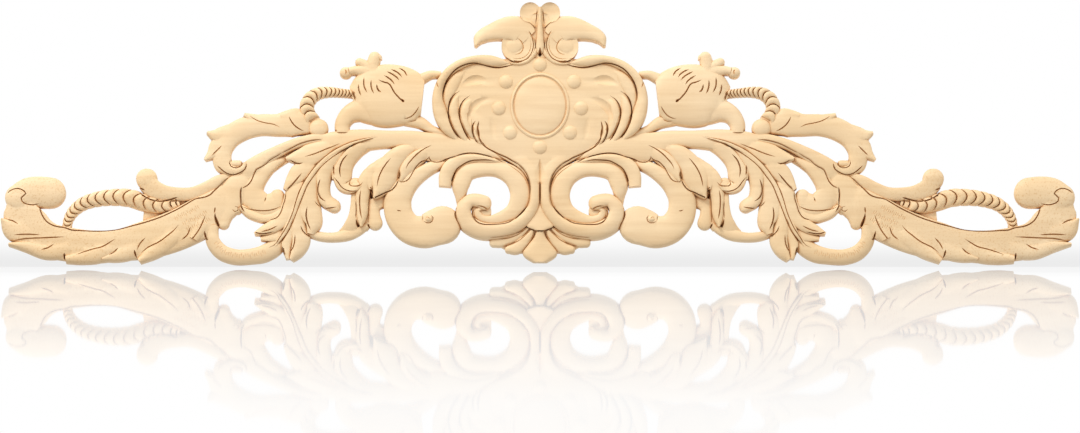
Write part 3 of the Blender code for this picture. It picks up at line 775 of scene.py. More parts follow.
def gouge(path, width=1.5, depth=1.3, lean=0.0, ends=(0.25, 0.25)):
    """A V-shaped wedge along a path of (out, up): it fades over the given share of each end."""
    steps = [(out, up, 1.0) for out, up in path]
    fine = flow(steps, np.linspace(0, 1, 60))
    length = np.linalg.norm(np.diff(fine[:, :2], axis=0), axis=1).sum()
    places = np.linspace(0, 1, max(5, int(length / GOUGE_STROKE) + 1))
    line = flow(steps, places)[:, :2]
    heights = [wood_height(*spot) for spot in line]
    known = [height for height in heights if height is not None]
    if not known:
        print("a gouge cut misses the wood at", path[0])
        return
    heights = np.array([known[0] if height is None else height for height in heights])
    heights[1:-1] = (heights[:-2] + 2 * heights[1:-1] + heights[2:]) / 4
    loops = []
    for spot, way, height, place in zip(line, unit_steps(line), heights, places):
        fade = min(1.0, place / max(ends[0], 1e-6), (1 - place) / max(ends[1], 1e-6))
        if ends[0] == 0 and place == 0 or ends[1] == 0 and place == 1:
            fade = 1.0
        fade = max(GOUGE_FAINTEST, np.sin(fade * np.pi / 2))
        side = np.array((-way[1], way[0]))
        half, deep = fade * width / 2, fade * depth
        foot = lean * half
        above = GOUGE_CLEAR / deep
        left, right = half + (half - foot) * above, -half - (half + foot) * above
        loops.append([
            on_board(*(spot + side * left), height + GOUGE_CLEAR),
            on_board(*(spot + side * foot), height - deep),
            on_board(*(spot + side * right), height + GOUGE_CLEAR),
        ])
    lay_aside(loops)


print("a gouge cut has a section every", GOUGE_STROKE, "steps")

# %% [markdown]
# ## Soft hollows
#
# A spoon gouge leaves a round-bottomed hollow with no line at its edge. It could be a V cut with a
# low angle, but that would show a crease in the middle. So the cutter has a rounded section here.
# Three of them soften the plate beside the lobes of the rim.

# %% Lay out a soft hollow
SCOOP_ROWS = 15
SCOOP_POINTS = 9
SCOOP_CLEAR = 0.3
SCOOP_START = 0.03


def scoop(path, depth):
    """A round-bottomed cutter along a path of (out, up, width), deepest in the middle."""
    line = flow(path, np.linspace(0, 1, SCOOP_ROWS))
    shares = np.sin(np.linspace(SCOOP_START, np.pi - SCOOP_START, SCOOP_ROWS))
    loops = []
    for spot, way, share in zip(line, unit_steps(line[:, :2]), shares):
        side = np.array((-way[1], way[0])) * spot[2] / 2
        height = wood_height(*spot[:2])
        loop = []
        for across in np.linspace(-1, 1, SCOOP_POINTS):
            sink = SCOOP_CLEAR - (SCOOP_CLEAR + share * depth) * (1 - across**2)
            loop.append(on_board(*(spot[:2] - side * across), height + sink))
        loop.append(on_board(*(spot[:2] - side), height + GOUGE_CLEAR))
        loop.append(on_board(*(spot[:2] + side), height + GOUGE_CLEAR))
        loops.append(loop)
    lay_aside(loops)


scoop([(53, 185, 5), (59, 186.2, 9), (65, 186.3, 11), (71, 184.8, 9), (77, 182, 5)], 2.5)
scoop([(50, 168, 4), (57, 165.5, 7), (64, 161.5, 9), (68.5, 155, 8), (70, 147, 6), (69, 140, 3)], 1.9)
scoop([(48.5, 149, 4), (47.5, 141, 7), (46.5, 133, 7), (45, 126, 4)], 0.9)

# %% [markdown]
# ## Lines of the heart, the crest and the shell
#
# The longest cuts are the ones that part the rim from the plate and one comma-shaped lobe from the
# next. They are the darkest lines of the whole piece, so they are the deepest.

# %% Cut the lines of the middle


def middle_cuts():
    gouge([(11.5, 236), (8.8, 231.5), (7, 226), (6.6, 220), (8.2, 214), (11.5, 209), (16.5, 205.6),
           (22, 204.2), (28, 205), (34, 208.3)], 1.2, 1.1, ends=(0.2, 0.1))
    gouge([(9.5, 228), (9, 221), (11, 214), (16, 209), (22, 207.4), (28, 208)], 0.9, 0.5)
    gouge([(23, 229), (18.4, 224.5), (16.6, 219), (19, 213.8), (25, 211.4)], 1.5, 0.8)
    gouge([(0, 218.5), (0, 214), (0, 209.6)], 5.0, 7.0, ends=(0.9, 0.02))
    gouge([(2.8, 258), (3.4, 250), (4.4, 243)], 1.4, 1.2)
    gouge([(27, 201.5), (35, 199.5), (42, 198.5), (50, 199.5), (58, 201.5), (66, 203), (70, 202.5),
           (78, 200), (84, 196.5), (90, 190), (94, 184), (97, 174), (97.5, 166)], 1.8, 2.0, 0.6, (0.1, 0.3))
    gouge([(80, 175.5), (85, 172), (89, 167), (91, 160), (91.5, 153), (90.5, 146), (88, 139), (84, 132),
           (79, 127)], 1.8, 2.0, 0.6, (0.3, 0.1))
    gouge([(70, 170.5), (75, 167), (79, 161), (80.5, 155), (80, 148), (78, 141), (74, 132), (69.5, 125)],
          1.8, 2.0, 0.6, (0.3, 0.1))
    gouge([(64.5, 145), (67, 141), (67.5, 137), (67, 133), (65, 127.5), (62, 122)], 1.8, 1.8, 0.6, (0.2, 0.1))
    gouge([(61, 145), (62.5, 138), (62.5, 133), (61, 128), (58, 123), (54, 119.5)],
          1.8, 1.8, -0.4, (0.2, 0.1))
    gouge([(103.5, 184), (102.8, 181), (101.5, 178)], 1.2, 1.0)
    gouge([(62, 140), (61, 132), (60, 125), (54, 118.5), (48, 115), (40, 111), (34, 108.5), (28, 105),
           (22, 101.5), (17, 97), (13, 91), (10.5, 84), (9.5, 77), (10, 69), (12, 60), (16, 54.5),
           (20, 50), (26, 45.5), (32, 42), (36, 41), (40, 40.5), (50, 40), (58, 40.5), (62, 42),
           (65.5, 45.5), (67.3, 50), (66.6, 55), (63.5, 58.8)], 1.7, 1.8, 0.3, (0.05, 0.1))
    gouge([(32, 101), (26.5, 97.5), (20, 92.5), (15, 86.5), (12, 79)], 1.0, 0.6)
    gouge([(50, 54), (54.5, 56.8), (59, 58.6), (63.5, 58.8)], 1.1, 0.9, ends=(0.05, 0.1))
    gouge([(52, 53.6), (56, 54.8), (60.5, 53.5)], 0.8, 0.5)
    gouge([(37, 103.5), (42, 105.5), (48, 108), (55, 110), (65, 112), (73, 112), (80, 110.5), (88, 107.5)],
          1.7, 1.6, 0.6, (0.1, 0.1))
    gouge([(45, 104), (52, 105), (60, 105), (70, 104), (77, 100.5), (83, 96), (86, 90), (88, 84)],
          1.7, 1.6, 0.6, (0.2, 0.0))
    gouge([(0, 106), (0, 95), (0, 81)], 7.5, 2.6, ends=(0.55, 0.45))
    gouge([(0, 85), (0, 78), (0, 70), (0, 61)], 1.6, 2.6, ends=(0.1, 0.4))


def shell_cuts():
    gouge([(13.1, 38.5), (8, 35.6), (4, 34.6), (0, 34.3), (-4, 34.6)], 1.4, 1.3, ends=(0.1, 0.0))
    gouge([(5, 34), (5.8, 29.5), (8.8, 24.8), (13.8, 18.5), (17, 14.5), (17.6, 11.5)],
          1.1, 0.8, -0.4, (0.1, 0.0))
    gouge([(10, 34.7), (13.8, 31), (20, 25.4), (27.5, 21.6), (37, 19.5)], 1.0, 0.7, -0.4, (0.1, 0.05))
    gouge([(12.5, 37), (17.5, 34.5), (25, 31.5), (37.5, 28.4), (50, 27)], 1.0, 0.7, 0.0, (0.1, 0.1))
    gouge([(14, 36), (24, 29.5), (34, 26.5), (44, 26)], 1.1, 0.8)


def scroll_cuts():
    gouge([(84, 57), (84.5, 50), (83, 45), (80.5, 40.5), (79, 36)], 1.8, 1.6, ends=(0.0, 0.0))
    gouge([(116, 43.5), (112, 41.8), (108, 43), (106.6, 46.5), (108.5, 49.8)], 1.1, 1.0)
    gouge([(114, 47.5), (111.5, 47.6), (110.3, 45.8)], 0.9, 0.6)
    gouge([(143, 55), (141, 54.2), (138.5, 54)], 1.2, 1.1)


middle_cuts()
shell_cuts()
scroll_cuts()

# %% [markdown]
# ## Veins of the leaves
#
# Each lobe of a leaf has one vein, a tapering cut that starts at the midrib and dies out before the
# tip. Where a lobe lies over the next one, the cut leans, so its far wall drops straight down.

# %% Cut the veins of the stem and drop leaves


def stem_cuts():
    gouge([(111, 109.5), (110, 105.5), (108, 104), (100, 103.5), (94, 106), (88, 108), (80, 110.5)],
          1.6, 1.5, -0.6, (0.1, 0.3))
    gouge([(108.3, 120.4), (115, 117.1), (121.7, 112.1), (128.3, 105.4), (132.8, 99.3), (133.9, 96)],
          1.5, 1.4)
    gouge([(110.6, 108.8), (112.8, 106), (118.3, 103.8), (123.9, 98.2), (128.3, 90.4), (131.1, 86),
           (133.9, 83.8), (139.4, 83.2)], 1.4, 1.3, 0.6, (0.05, 0.1))
    gouge([(140.6, 95), (140, 89.3), (141.7, 83.8), (145, 78.2), (149.4, 74.3), (152.8, 73.2), (158.3, 70.4),
           (165, 67.1)], 1.6, 2.0, 0.6, (0.1, 0.0))
    gouge([(140.9, 96), (140.3, 92), (139.8, 87.5)], 2.8, 2.6, ends=(0.8, 0.2))
    gouge([(148.9, 107.1), (153.9, 101), (157.8, 94.9), (161.1, 87.1), (162.8, 78.2)], 1.5, 1.5)
    gouge([(169, 78), (169.6, 73), (168, 67)], 4.6, 5.0, 0.0, (0.9, 0.0))
    gouge([(178.9, 74.9), (180, 68.2), (180, 59.3), (178.9, 50.4), (177.8, 46)], 1.6, 1.5)
    gouge([(184, 64), (183.5, 55), (184, 47)], 1.2, 1.1)
    gouge([(183.8, 46), (182.7, 42), (180.8, 38.5)], 2.8, 3.2, ends=(0.8, 0.0))
    gouge([(172.3, 42), (171.2, 39.8), (170, 37.3)], 1.8, 2.2, ends=(0.3, 0.0))
    gouge([(161, 55), (158.4, 57.3), (155.5, 58.8)], 2.0, 2.6, ends=(0.1, 0.1))
    gouge([(192, 111), (197, 105), (199.5, 99), (200, 93), (199, 88)], 1.7, 1.8, 0.5)
    gouge([(206, 100), (206.5, 95), (205.5, 90)], 1.7, 1.6)
    gouge([(190, 84), (190, 80), (185, 79), (180, 79.5), (177, 83)], 1.4, 1.2)
    gouge([(206, 88), (202, 83), (198, 77.5), (193, 74.5), (187, 73.5), (182, 74.5)], 1.4, 1.4, -0.5)


def drop_leaf_cuts():
    gouge([(165, 129), (180, 126), (190, 123), (200, 118.5), (212, 111), (222, 102), (230, 92), (238, 79),
           (243, 66), (247, 52), (253, 38), (260, 27), (265, 20), (271, 17)], 1.2, 1.1, -0.3, (0.1, 0.1))
    gouge([(162, 129), (180, 123), (190, 119), (200, 113), (210, 106), (218, 99), (225, 90), (232, 80),
           (237, 68), (242, 55), (247, 42), (252, 32), (258, 24), (264, 18)], 1.2, 1.1, 0.3, (0.1, 0.1))
    gouge([(219.5, 86), (221.5, 79), (221.5, 73), (219, 67), (214, 63.5)], 1.7, 1.8, 0.4)
    gouge([(225, 64), (222, 60), (217, 57), (210, 56.5), (203, 58)], 1.5, 1.4, -0.6)
    gouge([(232.5, 58), (233.5, 50), (232, 42), (229, 35)], 1.7, 1.8)
    gouge([(239, 39), (237, 34), (233, 30), (229, 28.5)], 1.5, 1.6, -0.6)
    gouge([(244.5, 30), (245, 22), (247, 16), (250, 12)], 1.5, 1.4)
    gouge([(257, 18), (256, 14.5), (255, 10)], 2.0, 2.4, ends=(0.2, 0.0))
    gouge([(238, 92), (242, 87), (247, 81), (253, 75)], 1.7, 1.8, ends=(0.3, 0.15))
    gouge([(278, 33), (270, 35), (262, 39)], 1.5, 1.3)
    gouge([(286, 33), (280, 31), (274, 31), (266, 33)], 1.5, 1.6, -0.6, (0.0, 0.3))
    gouge([(218, 126.5), (230, 125), (240, 122), (250, 117), (258, 113)], 1.5, 1.4, -0.6, (0.2, 0.1))
    gouge([(250, 105.5), (245, 102.5), (240, 101.5), (237, 102.5)], 1.5, 1.6, -0.5)
    gouge([(200, 122), (212, 117), (225, 111.5), (235, 108.5)], 1.5, 1.2)
    gouge([(298.3, 78.5), (299.2, 72), (298.9, 66), (298.3, 58), (295, 53)], 1.8, 2.2, -0.5, (0.05, 0.1))
    gouge([(297.5, 58.5), (290, 56), (282.5, 54.7), (272.5, 54.5), (265, 56), (258.8, 59)], 1.4, 1.2, 0.0)
    gouge([(253.8, 72.5), (254.4, 66), (256.3, 60), (258.8, 52.3), (262.5, 47.3), (270, 44.8)],
          1.5, 1.5, 0.4, (0.1, 0.1))
    gouge([(307.5, 56), (305, 53.8), (301.5, 55), (301.5, 58), (305, 59)], 1.2, 1.0)
    gouge([(258, 113), (263, 110), (271, 105), (275, 101), (280, 98), (283, 96.5), (286, 91), (289, 84),
           (292, 80.5), (298, 77)], 1.6, 1.5, -0.6, (0.1, 0.1))


stem_cuts()
drop_leaf_cuts()

# %% [markdown]
# ## Petals, the hook leaf and the wing
#
# The flower's mouth is one deep line that ends in a drop, with fine fluted folds above it. On the
# wing the veins run back from the tips, and between neighbouring lobes a short deep notch opens to
# the edge.

# %% Cut the flower, the hook leaf and the wing


def flower_cuts():
    for fold in (
        [(176, 188.8), (176.3, 184.3), (175.6, 178.8), (172.8, 173.2)],
        [(168.9, 186), (169, 182), (168.3, 177), (166, 172)],
        [(163.3, 181.5), (162.8, 178), (160.6, 173.5)],
        [(181.7, 182), (181.3, 176.6), (178.9, 170.2)],
        [(186.7, 174.3), (186, 170), (184.5, 165.5)],
        [(190.2, 171), (189.8, 166.6), (188.3, 162.7)],
        [(141, 198.3), (136.5, 196), (132.8, 190)],
        [(149, 197), (144.4, 195), (140.5, 192.3), (138, 188.5)],
        [(153, 194.6), (147.8, 192), (143.5, 189), (140.8, 185.6)],
        [(155.8, 190.6), (151, 187.8), (147.6, 184.8), (145.4, 181.3)],
    ):
        gouge(fold, 1.7, 1.6, 0.4)
    gouge([(161.5, 186.3), (157, 184), (151, 182.2), (148.3, 178.2), (145.6, 173.2), (142.2, 169.3),
           (139, 166), (136, 163.8)], 1.7, 1.7, 0.3, (0.2, 0.05))
    gouge([(139.5, 166.8), (137.4, 165), (135.6, 163.5)], 3.0, 3.0, 0.0, (0.5, 0.2))
    gouge([(120.8, 159.5), (123, 155.5), (127, 150.5), (131, 148), (136, 146.8)], 1.4, 1.2)
    gouge([(123, 146.5), (127, 144.8), (132, 144.6)], 1.2, 0.8)
    gouge([(195.3, 197), (193.8, 194.8), (194.6, 192)], 1.8, 1.0)
    gouge([(206.4, 143.5), (206, 138), (203.5, 134.5)], 1.5, 1.8, ends=(0.2, 0.0))


def hook_cuts():
    gouge([(318, 120), (322, 116), (328, 110)], 1.5, 1.3)
    gouge([(290, 150), (284, 146), (275, 143), (265, 141), (260, 138.5)], 1.3, 1.0)
    gouge([(251, 149.5), (249, 145), (245, 140), (240, 136.5), (236, 135)], 1.5, 1.4)
    gouge([(309.8, 105.5), (310, 101), (307, 98.2), (301, 98.2), (298, 100.5), (298.2, 104)], 1.3, 1.4)
    gouge([(322.5, 100), (318, 95.5), (312, 91.6), (306, 90.6), (300, 92.6), (294.5, 96.5), (293, 102)],
          1.4, 1.4, -0.5, (0.1, 0.05))


def wing_cuts():
    gouge([(309, 90), (315, 85), (320, 80), (325, 75), (330, 70), (335, 68), (345, 66), (350, 63),
           (360, 57), (370, 52), (380, 47.5), (390, 44), (400, 41), (410, 38.5), (420, 36), (430, 34.5),
           (440, 34), (450, 34), (460, 34.5), (468, 35), (475, 37.5), (480, 38), (487, 40), (493, 44),
           (497, 50), (499, 55), (500, 60)], 1.6, 1.6, -0.4, (0.05, 0.05))
    for vein in (
        [(533, 46), (526, 44), (521, 41)],
        [(525, 30), (512, 30.5), (499, 30)],
        [(527, 24), (515, 26), (495, 27), (474, 28)],
        [(498, 15), (491, 17), (485, 21)],
        [(463, 10), (455, 13), (445, 16), (437, 18), (430, 22), (424, 26)],
        [(430, 10), (425, 13), (421, 17)],
        [(398, 12), (392, 17), (380, 23), (372, 29), (365, 35), (361, 40)],
        [(402, 15), (400, 20), (394, 27)],
        [(349, 38), (352, 30), (358, 25)],
        [(334, 50), (337, 42), (341, 34), (347, 26)],
        [(324.4, 58), (325, 52)],
    ):
        gouge(vein, 1.6, 1.4)
    for notch in ([(475, 12), (474.5, 8), (474, 4)], [(405, 15), (404, 11), (402, 6)],
                  [(335, 34), (334, 29), (332, 25)], [(324.6, 52), (324, 45), (320.5, 37)]):
        gouge(notch, 2.0, 2.4, 0.0, (0.2, 0.0))
    gouge([(402.5, 79.5), (398.5, 77), (394.5, 75)], 1.8, 2.0)
    gouge([(399, 71.5), (391, 66.3), (381, 64), (371, 65.2), (362, 68)], 1.9, 2.2, -0.4, (0.1, 0.1))
    gouge([(369.1, 65.4), (369.3, 61), (367, 57.5)], 1.7, 2.2)
    gouge([(363.5, 67), (363.7, 62.5), (361.8, 59)], 1.7, 2.2)
    gouge([(532, 72), (528, 75), (522, 76.5), (517, 75), (513.5, 71.5), (518, 67), (517, 63), (513, 61),
           (507, 60), (500, 61.5)], 1.6, 1.5, -0.5, (0.05, 0.1))


flower_cuts()
hook_cuts()
wing_cuts()

# %% [markdown]
# ## Marks of the tool
#
# Where the carver only roughed the wood, a small gouge left rows of short shallow strokes. Noise in
# a bump map could stand for them, but real strokes follow the leaf, so each one is a tiny cut here.
# They sway a little from side to side, by a sine and not by chance, so every run gives the same.

# %% Leave the tool marks


def chatter(path, count, long):
    """A row of short, shallow strokes of a small gouge, laid crosswise along a path of (out, up)."""
    line = flow([(out, up, 1.0) for out, up in path], np.linspace(0, 1, count))[:, :2]
    for number, (spot, way) in enumerate(zip(line, unit_steps(line))):
        side = np.array((-way[1], way[0])) * long / 2
        spot = spot + side * 0.5 * np.sin(2.4 * number)
        gouge([spot - side, spot + way * 0.5, spot + side], 0.8, 0.3)


def tool_marks():
    gouge([(162.6, 178.4), (161.5, 175.6), (158.9, 173.4)], 1.5, 1.3)
    gouge([(186.4, 175.2), (185.8, 170.9), (183.9, 167.1)], 1.5, 1.4)
    gouge([(189.8, 173.5), (189.5, 168.4), (187.6, 163.4)], 1.5, 1.4)
    gouge([(324.2, 50), (322.6, 43), (319.5, 36.5)], 3.6, 4.5, ends=(0.6, 0.1))
    chatter([(333, 53), (345, 46), (356, 42)], 14, 4.5)
    chatter([(330, 46), (341, 40), (352, 36)], 13, 4.5)
    chatter([(341, 58), (352, 52), (364, 47)], 14, 4.5)
    chatter([(274, 12.5), (288, 9.5), (303, 9.2), (316, 13.5), (323, 22)], 26, 4.5)


tool_marks()

# %% [markdown]
# ## Take the cuts away and mirror the half
#
# All the wedges go in one Boolean. Then the half board is cut along the centre line and mirrored.
# The mirror comes last, so both wings get the same cuts, as a carver gets them by flipping the
# drawing.

# %% Make the cuts and the second half
CENTRE_TOLERANCE = 0.00001
whittle(applique, "gouge cuts", "DIFFERENCE", gouge_cuts)
halves = applique.modifiers.new("halves", "MIRROR")
halves.use_axis[0] = True
halves.use_bisect_axis[0] = True
halves.bisect_threshold = CENTRE_TOLERANCE
halves.merge_threshold = 2 * CENTRE_TOLERANCE
carved = settled(applique)
print("faces with both halves:", len(carved.polygons))

# %% [markdown]
# ## Clear the bench and shade the piece
#
# The forms and cutters have done their work and go. The piece must not be larger than its frame,
# but its fine curves swell a few tenths of a millimetre past the box of the faceted solid in a few
# spots. Those points are set back onto the box, which leaves a small flat where they were. A
# smaller curve would avoid that, at the price of a form that no longer follows the drawing. Then
# the faces are shaded smooth, but edges sharper than a set angle stay crisp, as a chisel leaves
# them.

# %% Clear the bench and shade the piece
for group in (half_board, gouge_cuts):
    for thing in list(group.objects):
        bpy.data.objects.remove(thing)
    bpy.data.collections.remove(group)
bpy.data.objects.remove(saw)

SHARP_EDGE = np.radians(38)
corners = np.empty(3 * len(carved.vertices), np.float32)
carved.vertices.foreach_get("co", corners)
corners = corners.reshape(-1, 3)
within = np.clip(corners, np.array(low_corner), np.array(high_corner))
set_back = 1000 * np.abs(within - corners)
print("points set back onto the box:", int((set_back.max(axis=1) > 0).sum()), "of", len(corners))
print("farthest along X, Y and Z, mm:", [round(float(far), 3) for far in set_back.max(axis=0)])
carved.vertices.foreach_set("co", within.ravel())
carved.update()
carved.shade_smooth()
carved.set_sharp_from_angle(angle=SHARP_EDGE)
carved.calc_loop_triangles()
print("triangles on the carved piece:", len(carved.loop_triangles))

# %% [markdown]
# ## Pale carving wood
#
# The wood is bare and pale, close in colour to lime or rubberwood, with a fine grain that runs along
# the board. One could paint a picture of grain on it, but the grain would stretch on the steep
# sides. So the colour is mixed from noise that fills space: noise stretched along X for the grain,
# and slow round noise for the paler and darker patches.

# %% Start the wood and name a few helpers
wood = bpy.data.materials.new("pale carving wood")
wood.use_nodes = True
nodes, links = wood.node_tree.nodes, wood.node_tree.links
shader = nodes["Principled BSDF"]
shader.inputs["Roughness"].default_value = 0.52
shader.inputs["Specular IOR Level"].default_value = 0.35


def node(kind, **settings):
    """A new shader node with its settings and input values."""
    made = nodes.new(kind)
    for name, value in settings.items():
        if name in made.inputs:
            made.inputs[name].default_value = value
        else:
            setattr(made, name, value)
    return made


def ramp(source, *stops):
    """A colour ramp with (place, colour) stops."""
    made = nodes.new("ShaderNodeValToRGB")
    elements = made.color_ramp.elements
    while len(elements) < len(stops):
        elements.new(0.5)
    for element, (place, colour) in zip(elements, stops):
        element.position = place
        element.color = (*colour, 1.0)
    links.new(source, made.inputs["Fac"])
    return made.outputs["Color"]


def mix(kind, share, first, second):
    """Two colours mixed: share is a number or a socket."""
    made = node("ShaderNodeMix", data_type="RGBA", blend_type=kind)
    for socket, value in (("Factor", share), ("A", first), ("B", second)):
        sort = "VALUE" if socket == "Factor" else "RGBA"
        spot = next(one for one in made.inputs if one.name == socket and one.type == sort)
        if isinstance(value, bpy.types.NodeSocket):
            links.new(value, spot)
        else:
            spot.default_value = value
    return next(one for one in made.outputs if one.type == "RGBA")


print("nodes before the grain:", len(nodes))

# %% Mix the grain and the patches
place = node("ShaderNodeTexCoord").outputs["Object"]
along = node("ShaderNodeMapping")
along.inputs["Scale"].default_value = (5.0, 60.0, 95.0)
links.new(place, along.inputs["Vector"])
grain = node("ShaderNodeTexNoise", Scale=1.6, Detail=6.0, Roughness=0.62, Distortion=0.35)
links.new(along.outputs["Vector"], grain.inputs["Vector"])
cloud = node("ShaderNodeTexNoise", Scale=9.0, Detail=3.0)
links.new(place, cloud.inputs["Vector"])
fibre = node("ShaderNodeTexNoise", Scale=4.5, Detail=3.0, Roughness=0.7)
links.new(along.outputs["Vector"], fibre.inputs["Vector"])

streaks = ramp(grain.outputs["Fac"], (0.30, (0.82, 0.59, 0.345)), (0.72, (0.93, 0.71, 0.445)))
patches = ramp(cloud.outputs["Fac"], (0.35, (0.955, 0.915, 0.84)), (0.65, (1.0, 1.0, 1.0)))
face = mix("MULTIPLY", 1.0, streaks, patches)
print("nodes in the grain:", len(nodes))

# %% [markdown]
# ## Fuzz on the wings
#
# Towards the tips the wood wasn't sanded, and the torn fibres show as tiny brown specks. They are
# fine noise, pushed to dark points, whose share grows with the distance from the middle. A second
# material for the wings would be an easy way too, but it would show a border.

# %% Speckle the wings
split = node("ShaderNodeSeparateXYZ")
links.new(place, split.inputs["Vector"])
reach = node("ShaderNodeMath", operation="ABSOLUTE")
links.new(split.outputs["X"], reach.inputs[0])
wings_only = node("ShaderNodeMapRange")
for name, value in (("From Min", 0.27), ("From Max", 0.42), ("To Min", 0.1), ("To Max", 0.75)):
    wings_only.inputs[name].default_value = value
links.new(reach.outputs[0], wings_only.inputs["Value"])
speck = node("ShaderNodeTexNoise", Scale=600.0, Detail=2.0, Roughness=0.6)
links.new(place, speck.inputs["Vector"])
specks = ramp(speck.outputs["Fac"], (0.33, (0.84, 0.72, 0.58)), (0.46, (1.0, 1.0, 1.0)))
face = mix("MULTIPLY", wings_only.outputs["Result"], face, specks)
print("nodes with the specks:", len(nodes))

# %% [markdown]
# ## Painted shade and burnish in the creases, and raised fibres
#
# Where the gouge went deep, the colour is made browner. This is partly painted shade, since less light gets
# in there, and partly the burnished fibres, which are darker. The Ambient Occlusion node measures how closed
# in a spot is, so the painted shade sits in the real cuts. A very low bump raises the fibres, too fine to be
# worth any faces.

# %% Paint shade and burnish into the creases and raise the fibres
burnish_and_shade_ao = node("ShaderNodeAmbientOcclusion", samples=8, Distance=0.0035)
# painted shade and burnish: the creases are coloured brown by how closed in they are
crease = ramp(burnish_and_shade_ao.outputs["AO"], (0.12, (0.2, 0.08, 0.025)), (0.5, (0.76, 0.55, 0.37)),
              (0.9, (1.0, 1.0, 1.0)))
links.new(mix("MULTIPLY", 1.0, face, crease), shader.inputs["Base Color"])

bump = node("ShaderNodeBump", Strength=0.12, Distance=0.0004)
links.new(fibre.outputs["Fac"], bump.inputs["Height"])
links.new(bump.outputs["Normal"], shader.inputs["Normal"])
carved.materials.clear()
carved.materials.append(wood)
print("nodes in the wood:", len(nodes))

# %% [markdown]
# ## Hand the piece over
#
# The carved piece takes the place of the faceted solid, rides on its body and keeps its finish.

# %% Ride on the frame
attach(applique, "root")
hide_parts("applique")
print("carved piece, mm:", [round(1000 * size, 1) for size in applique.dimensions])

# %% [markdown]
# ## A glossy white sheet
#
# The ornament stands on its lower edge on a glossy white sheet and leans back a little, so that the
# lower sides of its forms show and the sheet mirrors it. The piece itself stays upright here, where
# the frame has it: instead the sheet and the camera tilt by the same angle.
#
# A white sheet that is lit by the room comes out grey. A glowing one stays white, and its colour follows a
# ramp that is a little grey near the foot: a painted soft shadow.

# %% A helper for the two papers
LEAN = np.radians(8)
LOOK_DOWN = np.radians(4.0)
SHEET_TILT = LEAN + LOOK_DOWN
# SHADE is the grey of the painted shadow at the foot of the sheet and the wall
SHADE, FADE_LENGTH = 0.84, 1.3


def paper_square(name, width, depth, tilt, place):
    """A flat white surface of the studio."""
    bpy.ops.mesh.primitive_plane_add(size=1.0)
    made = bpy.context.active_object
    made.name = name
    made.scale = (width, depth, 1.0)
    made.rotation_euler = (tilt, 0, 0)
    made.location = place
    return made


def stage_material(name, source, stops):
    """A glowing white material with a painted shadow, greyer near the foot of the ornament: stops are
    (metres, value).
    """
    made = bpy.data.materials.new(name)
    made.use_nodes = True
    tree = made.node_tree
    tree.nodes.clear()
    spot = tree.nodes.new("ShaderNodeTexCoord").outputs["Object"]
    split = tree.nodes.new("ShaderNodeSeparateXYZ")
    tree.links.new(spot, split.inputs[0])
    reach = tree.nodes.new("ShaderNodeMapRange")
    for label, value in zip(("From Min", "From Max", "To Min", "To Max"), source):
        reach.inputs[label].default_value = value
    tree.links.new(split.outputs["Y"], reach.inputs["Value"])
    painted_shadow_ramp = tree.nodes.new("ShaderNodeValToRGB")
    # the ramp paints the shadow: the glow is greyer near the foot of the ornament
    painted_shadow_ramp.color_ramp.interpolation = "EASE"
    while len(painted_shadow_ramp.color_ramp.elements) < len(stops):
        painted_shadow_ramp.color_ramp.elements.new(0.5)
    for element, (metres, value) in zip(painted_shadow_ramp.color_ramp.elements, stops):
        element.position = metres / FADE_LENGTH
        element.color = (value, value, value, 1)
    tree.links.new(reach.outputs["Result"], painted_shadow_ramp.inputs["Fac"])
    glow = tree.nodes.new("ShaderNodeEmission")
    tree.links.new(painted_shadow_ramp.outputs["Color"], glow.inputs["Color"])
    output = tree.nodes.new("ShaderNodeOutputMaterial")
    return made, tree, reach.outputs["Result"], glow, output


print("the sheet tilts by", round(np.degrees(SHEET_TILT), 1), "degrees")

# %% Lay the sheet
SHEET_WIDE, SHEET_DEEP = 8.0, 9.0
foot = Vector((0.0, 0.01, low_corner.z))
toward = Vector((0.0, -np.cos(SHEET_TILT), -np.sin(SHEET_TILT)))
sheet = paper_square("white_sheet", SHEET_WIDE, SHEET_DEEP, SHEET_TILT, foot + toward * SHEET_DEEP / 2)
sheet_ends = (0.5, 0.5 - FADE_LENGTH / SHEET_DEEP, 0, 1)
# painted shadow: the sheet glows greyer near the foot of the ornament
sheet_painted_shadow = ((0, SHADE), (0.045, SHADE + 0.02), (0.08, 0.95), (0.12, 1.0))
gloss, tree, far, glow, output = stage_material("glossy white sheet", sheet_ends, sheet_painted_shadow)
print("the sheet lies from the foot to", [round(value, 2) for value in foot + toward * SHEET_DEEP])

# %% [markdown]
# ## The mirror picture
#
# The sheet mirrors the ornament clearly at its foot and hardly at all further off. A real gloss
# would give the same strength everywhere, so the share of gloss falls with the distance here.

# %% Polish the sheet
mirror = tree.nodes.new("ShaderNodeBsdfGlossy")
mirror.inputs["Color"].default_value = (1, 1, 1, 1)
mirror.inputs["Roughness"].default_value = 0.03
fading = tree.nodes.new("ShaderNodeMapRange")
fading.inputs["To Min"].default_value = 0.5
fading.inputs["To Max"].default_value = 0.09
tree.links.new(far, fading.inputs["Value"])
share = tree.nodes.new("ShaderNodeMixShader")
tree.links.new(fading.outputs["Result"], share.inputs["Fac"])
tree.links.new(glow.outputs[0], share.inputs[1])
tree.links.new(mirror.outputs[0], share.inputs[2])
tree.links.new(share.outputs[0], output.inputs["Surface"])
sheet.data.materials.append(gloss)
sheet.visible_diffuse = False
print("gloss of the sheet, near and far:", [round(fading.inputs[end].default_value, 2)
                                            for end in ("To Min", "To Max")])

# %% [markdown]
# ## The wall behind
#
# A white wall stands behind the sheet. It has a painted shadow at its foot too, a little grey, so that the
# lower edge of the wings stands against a pale grey band, which fades to white within a hand's breadth.

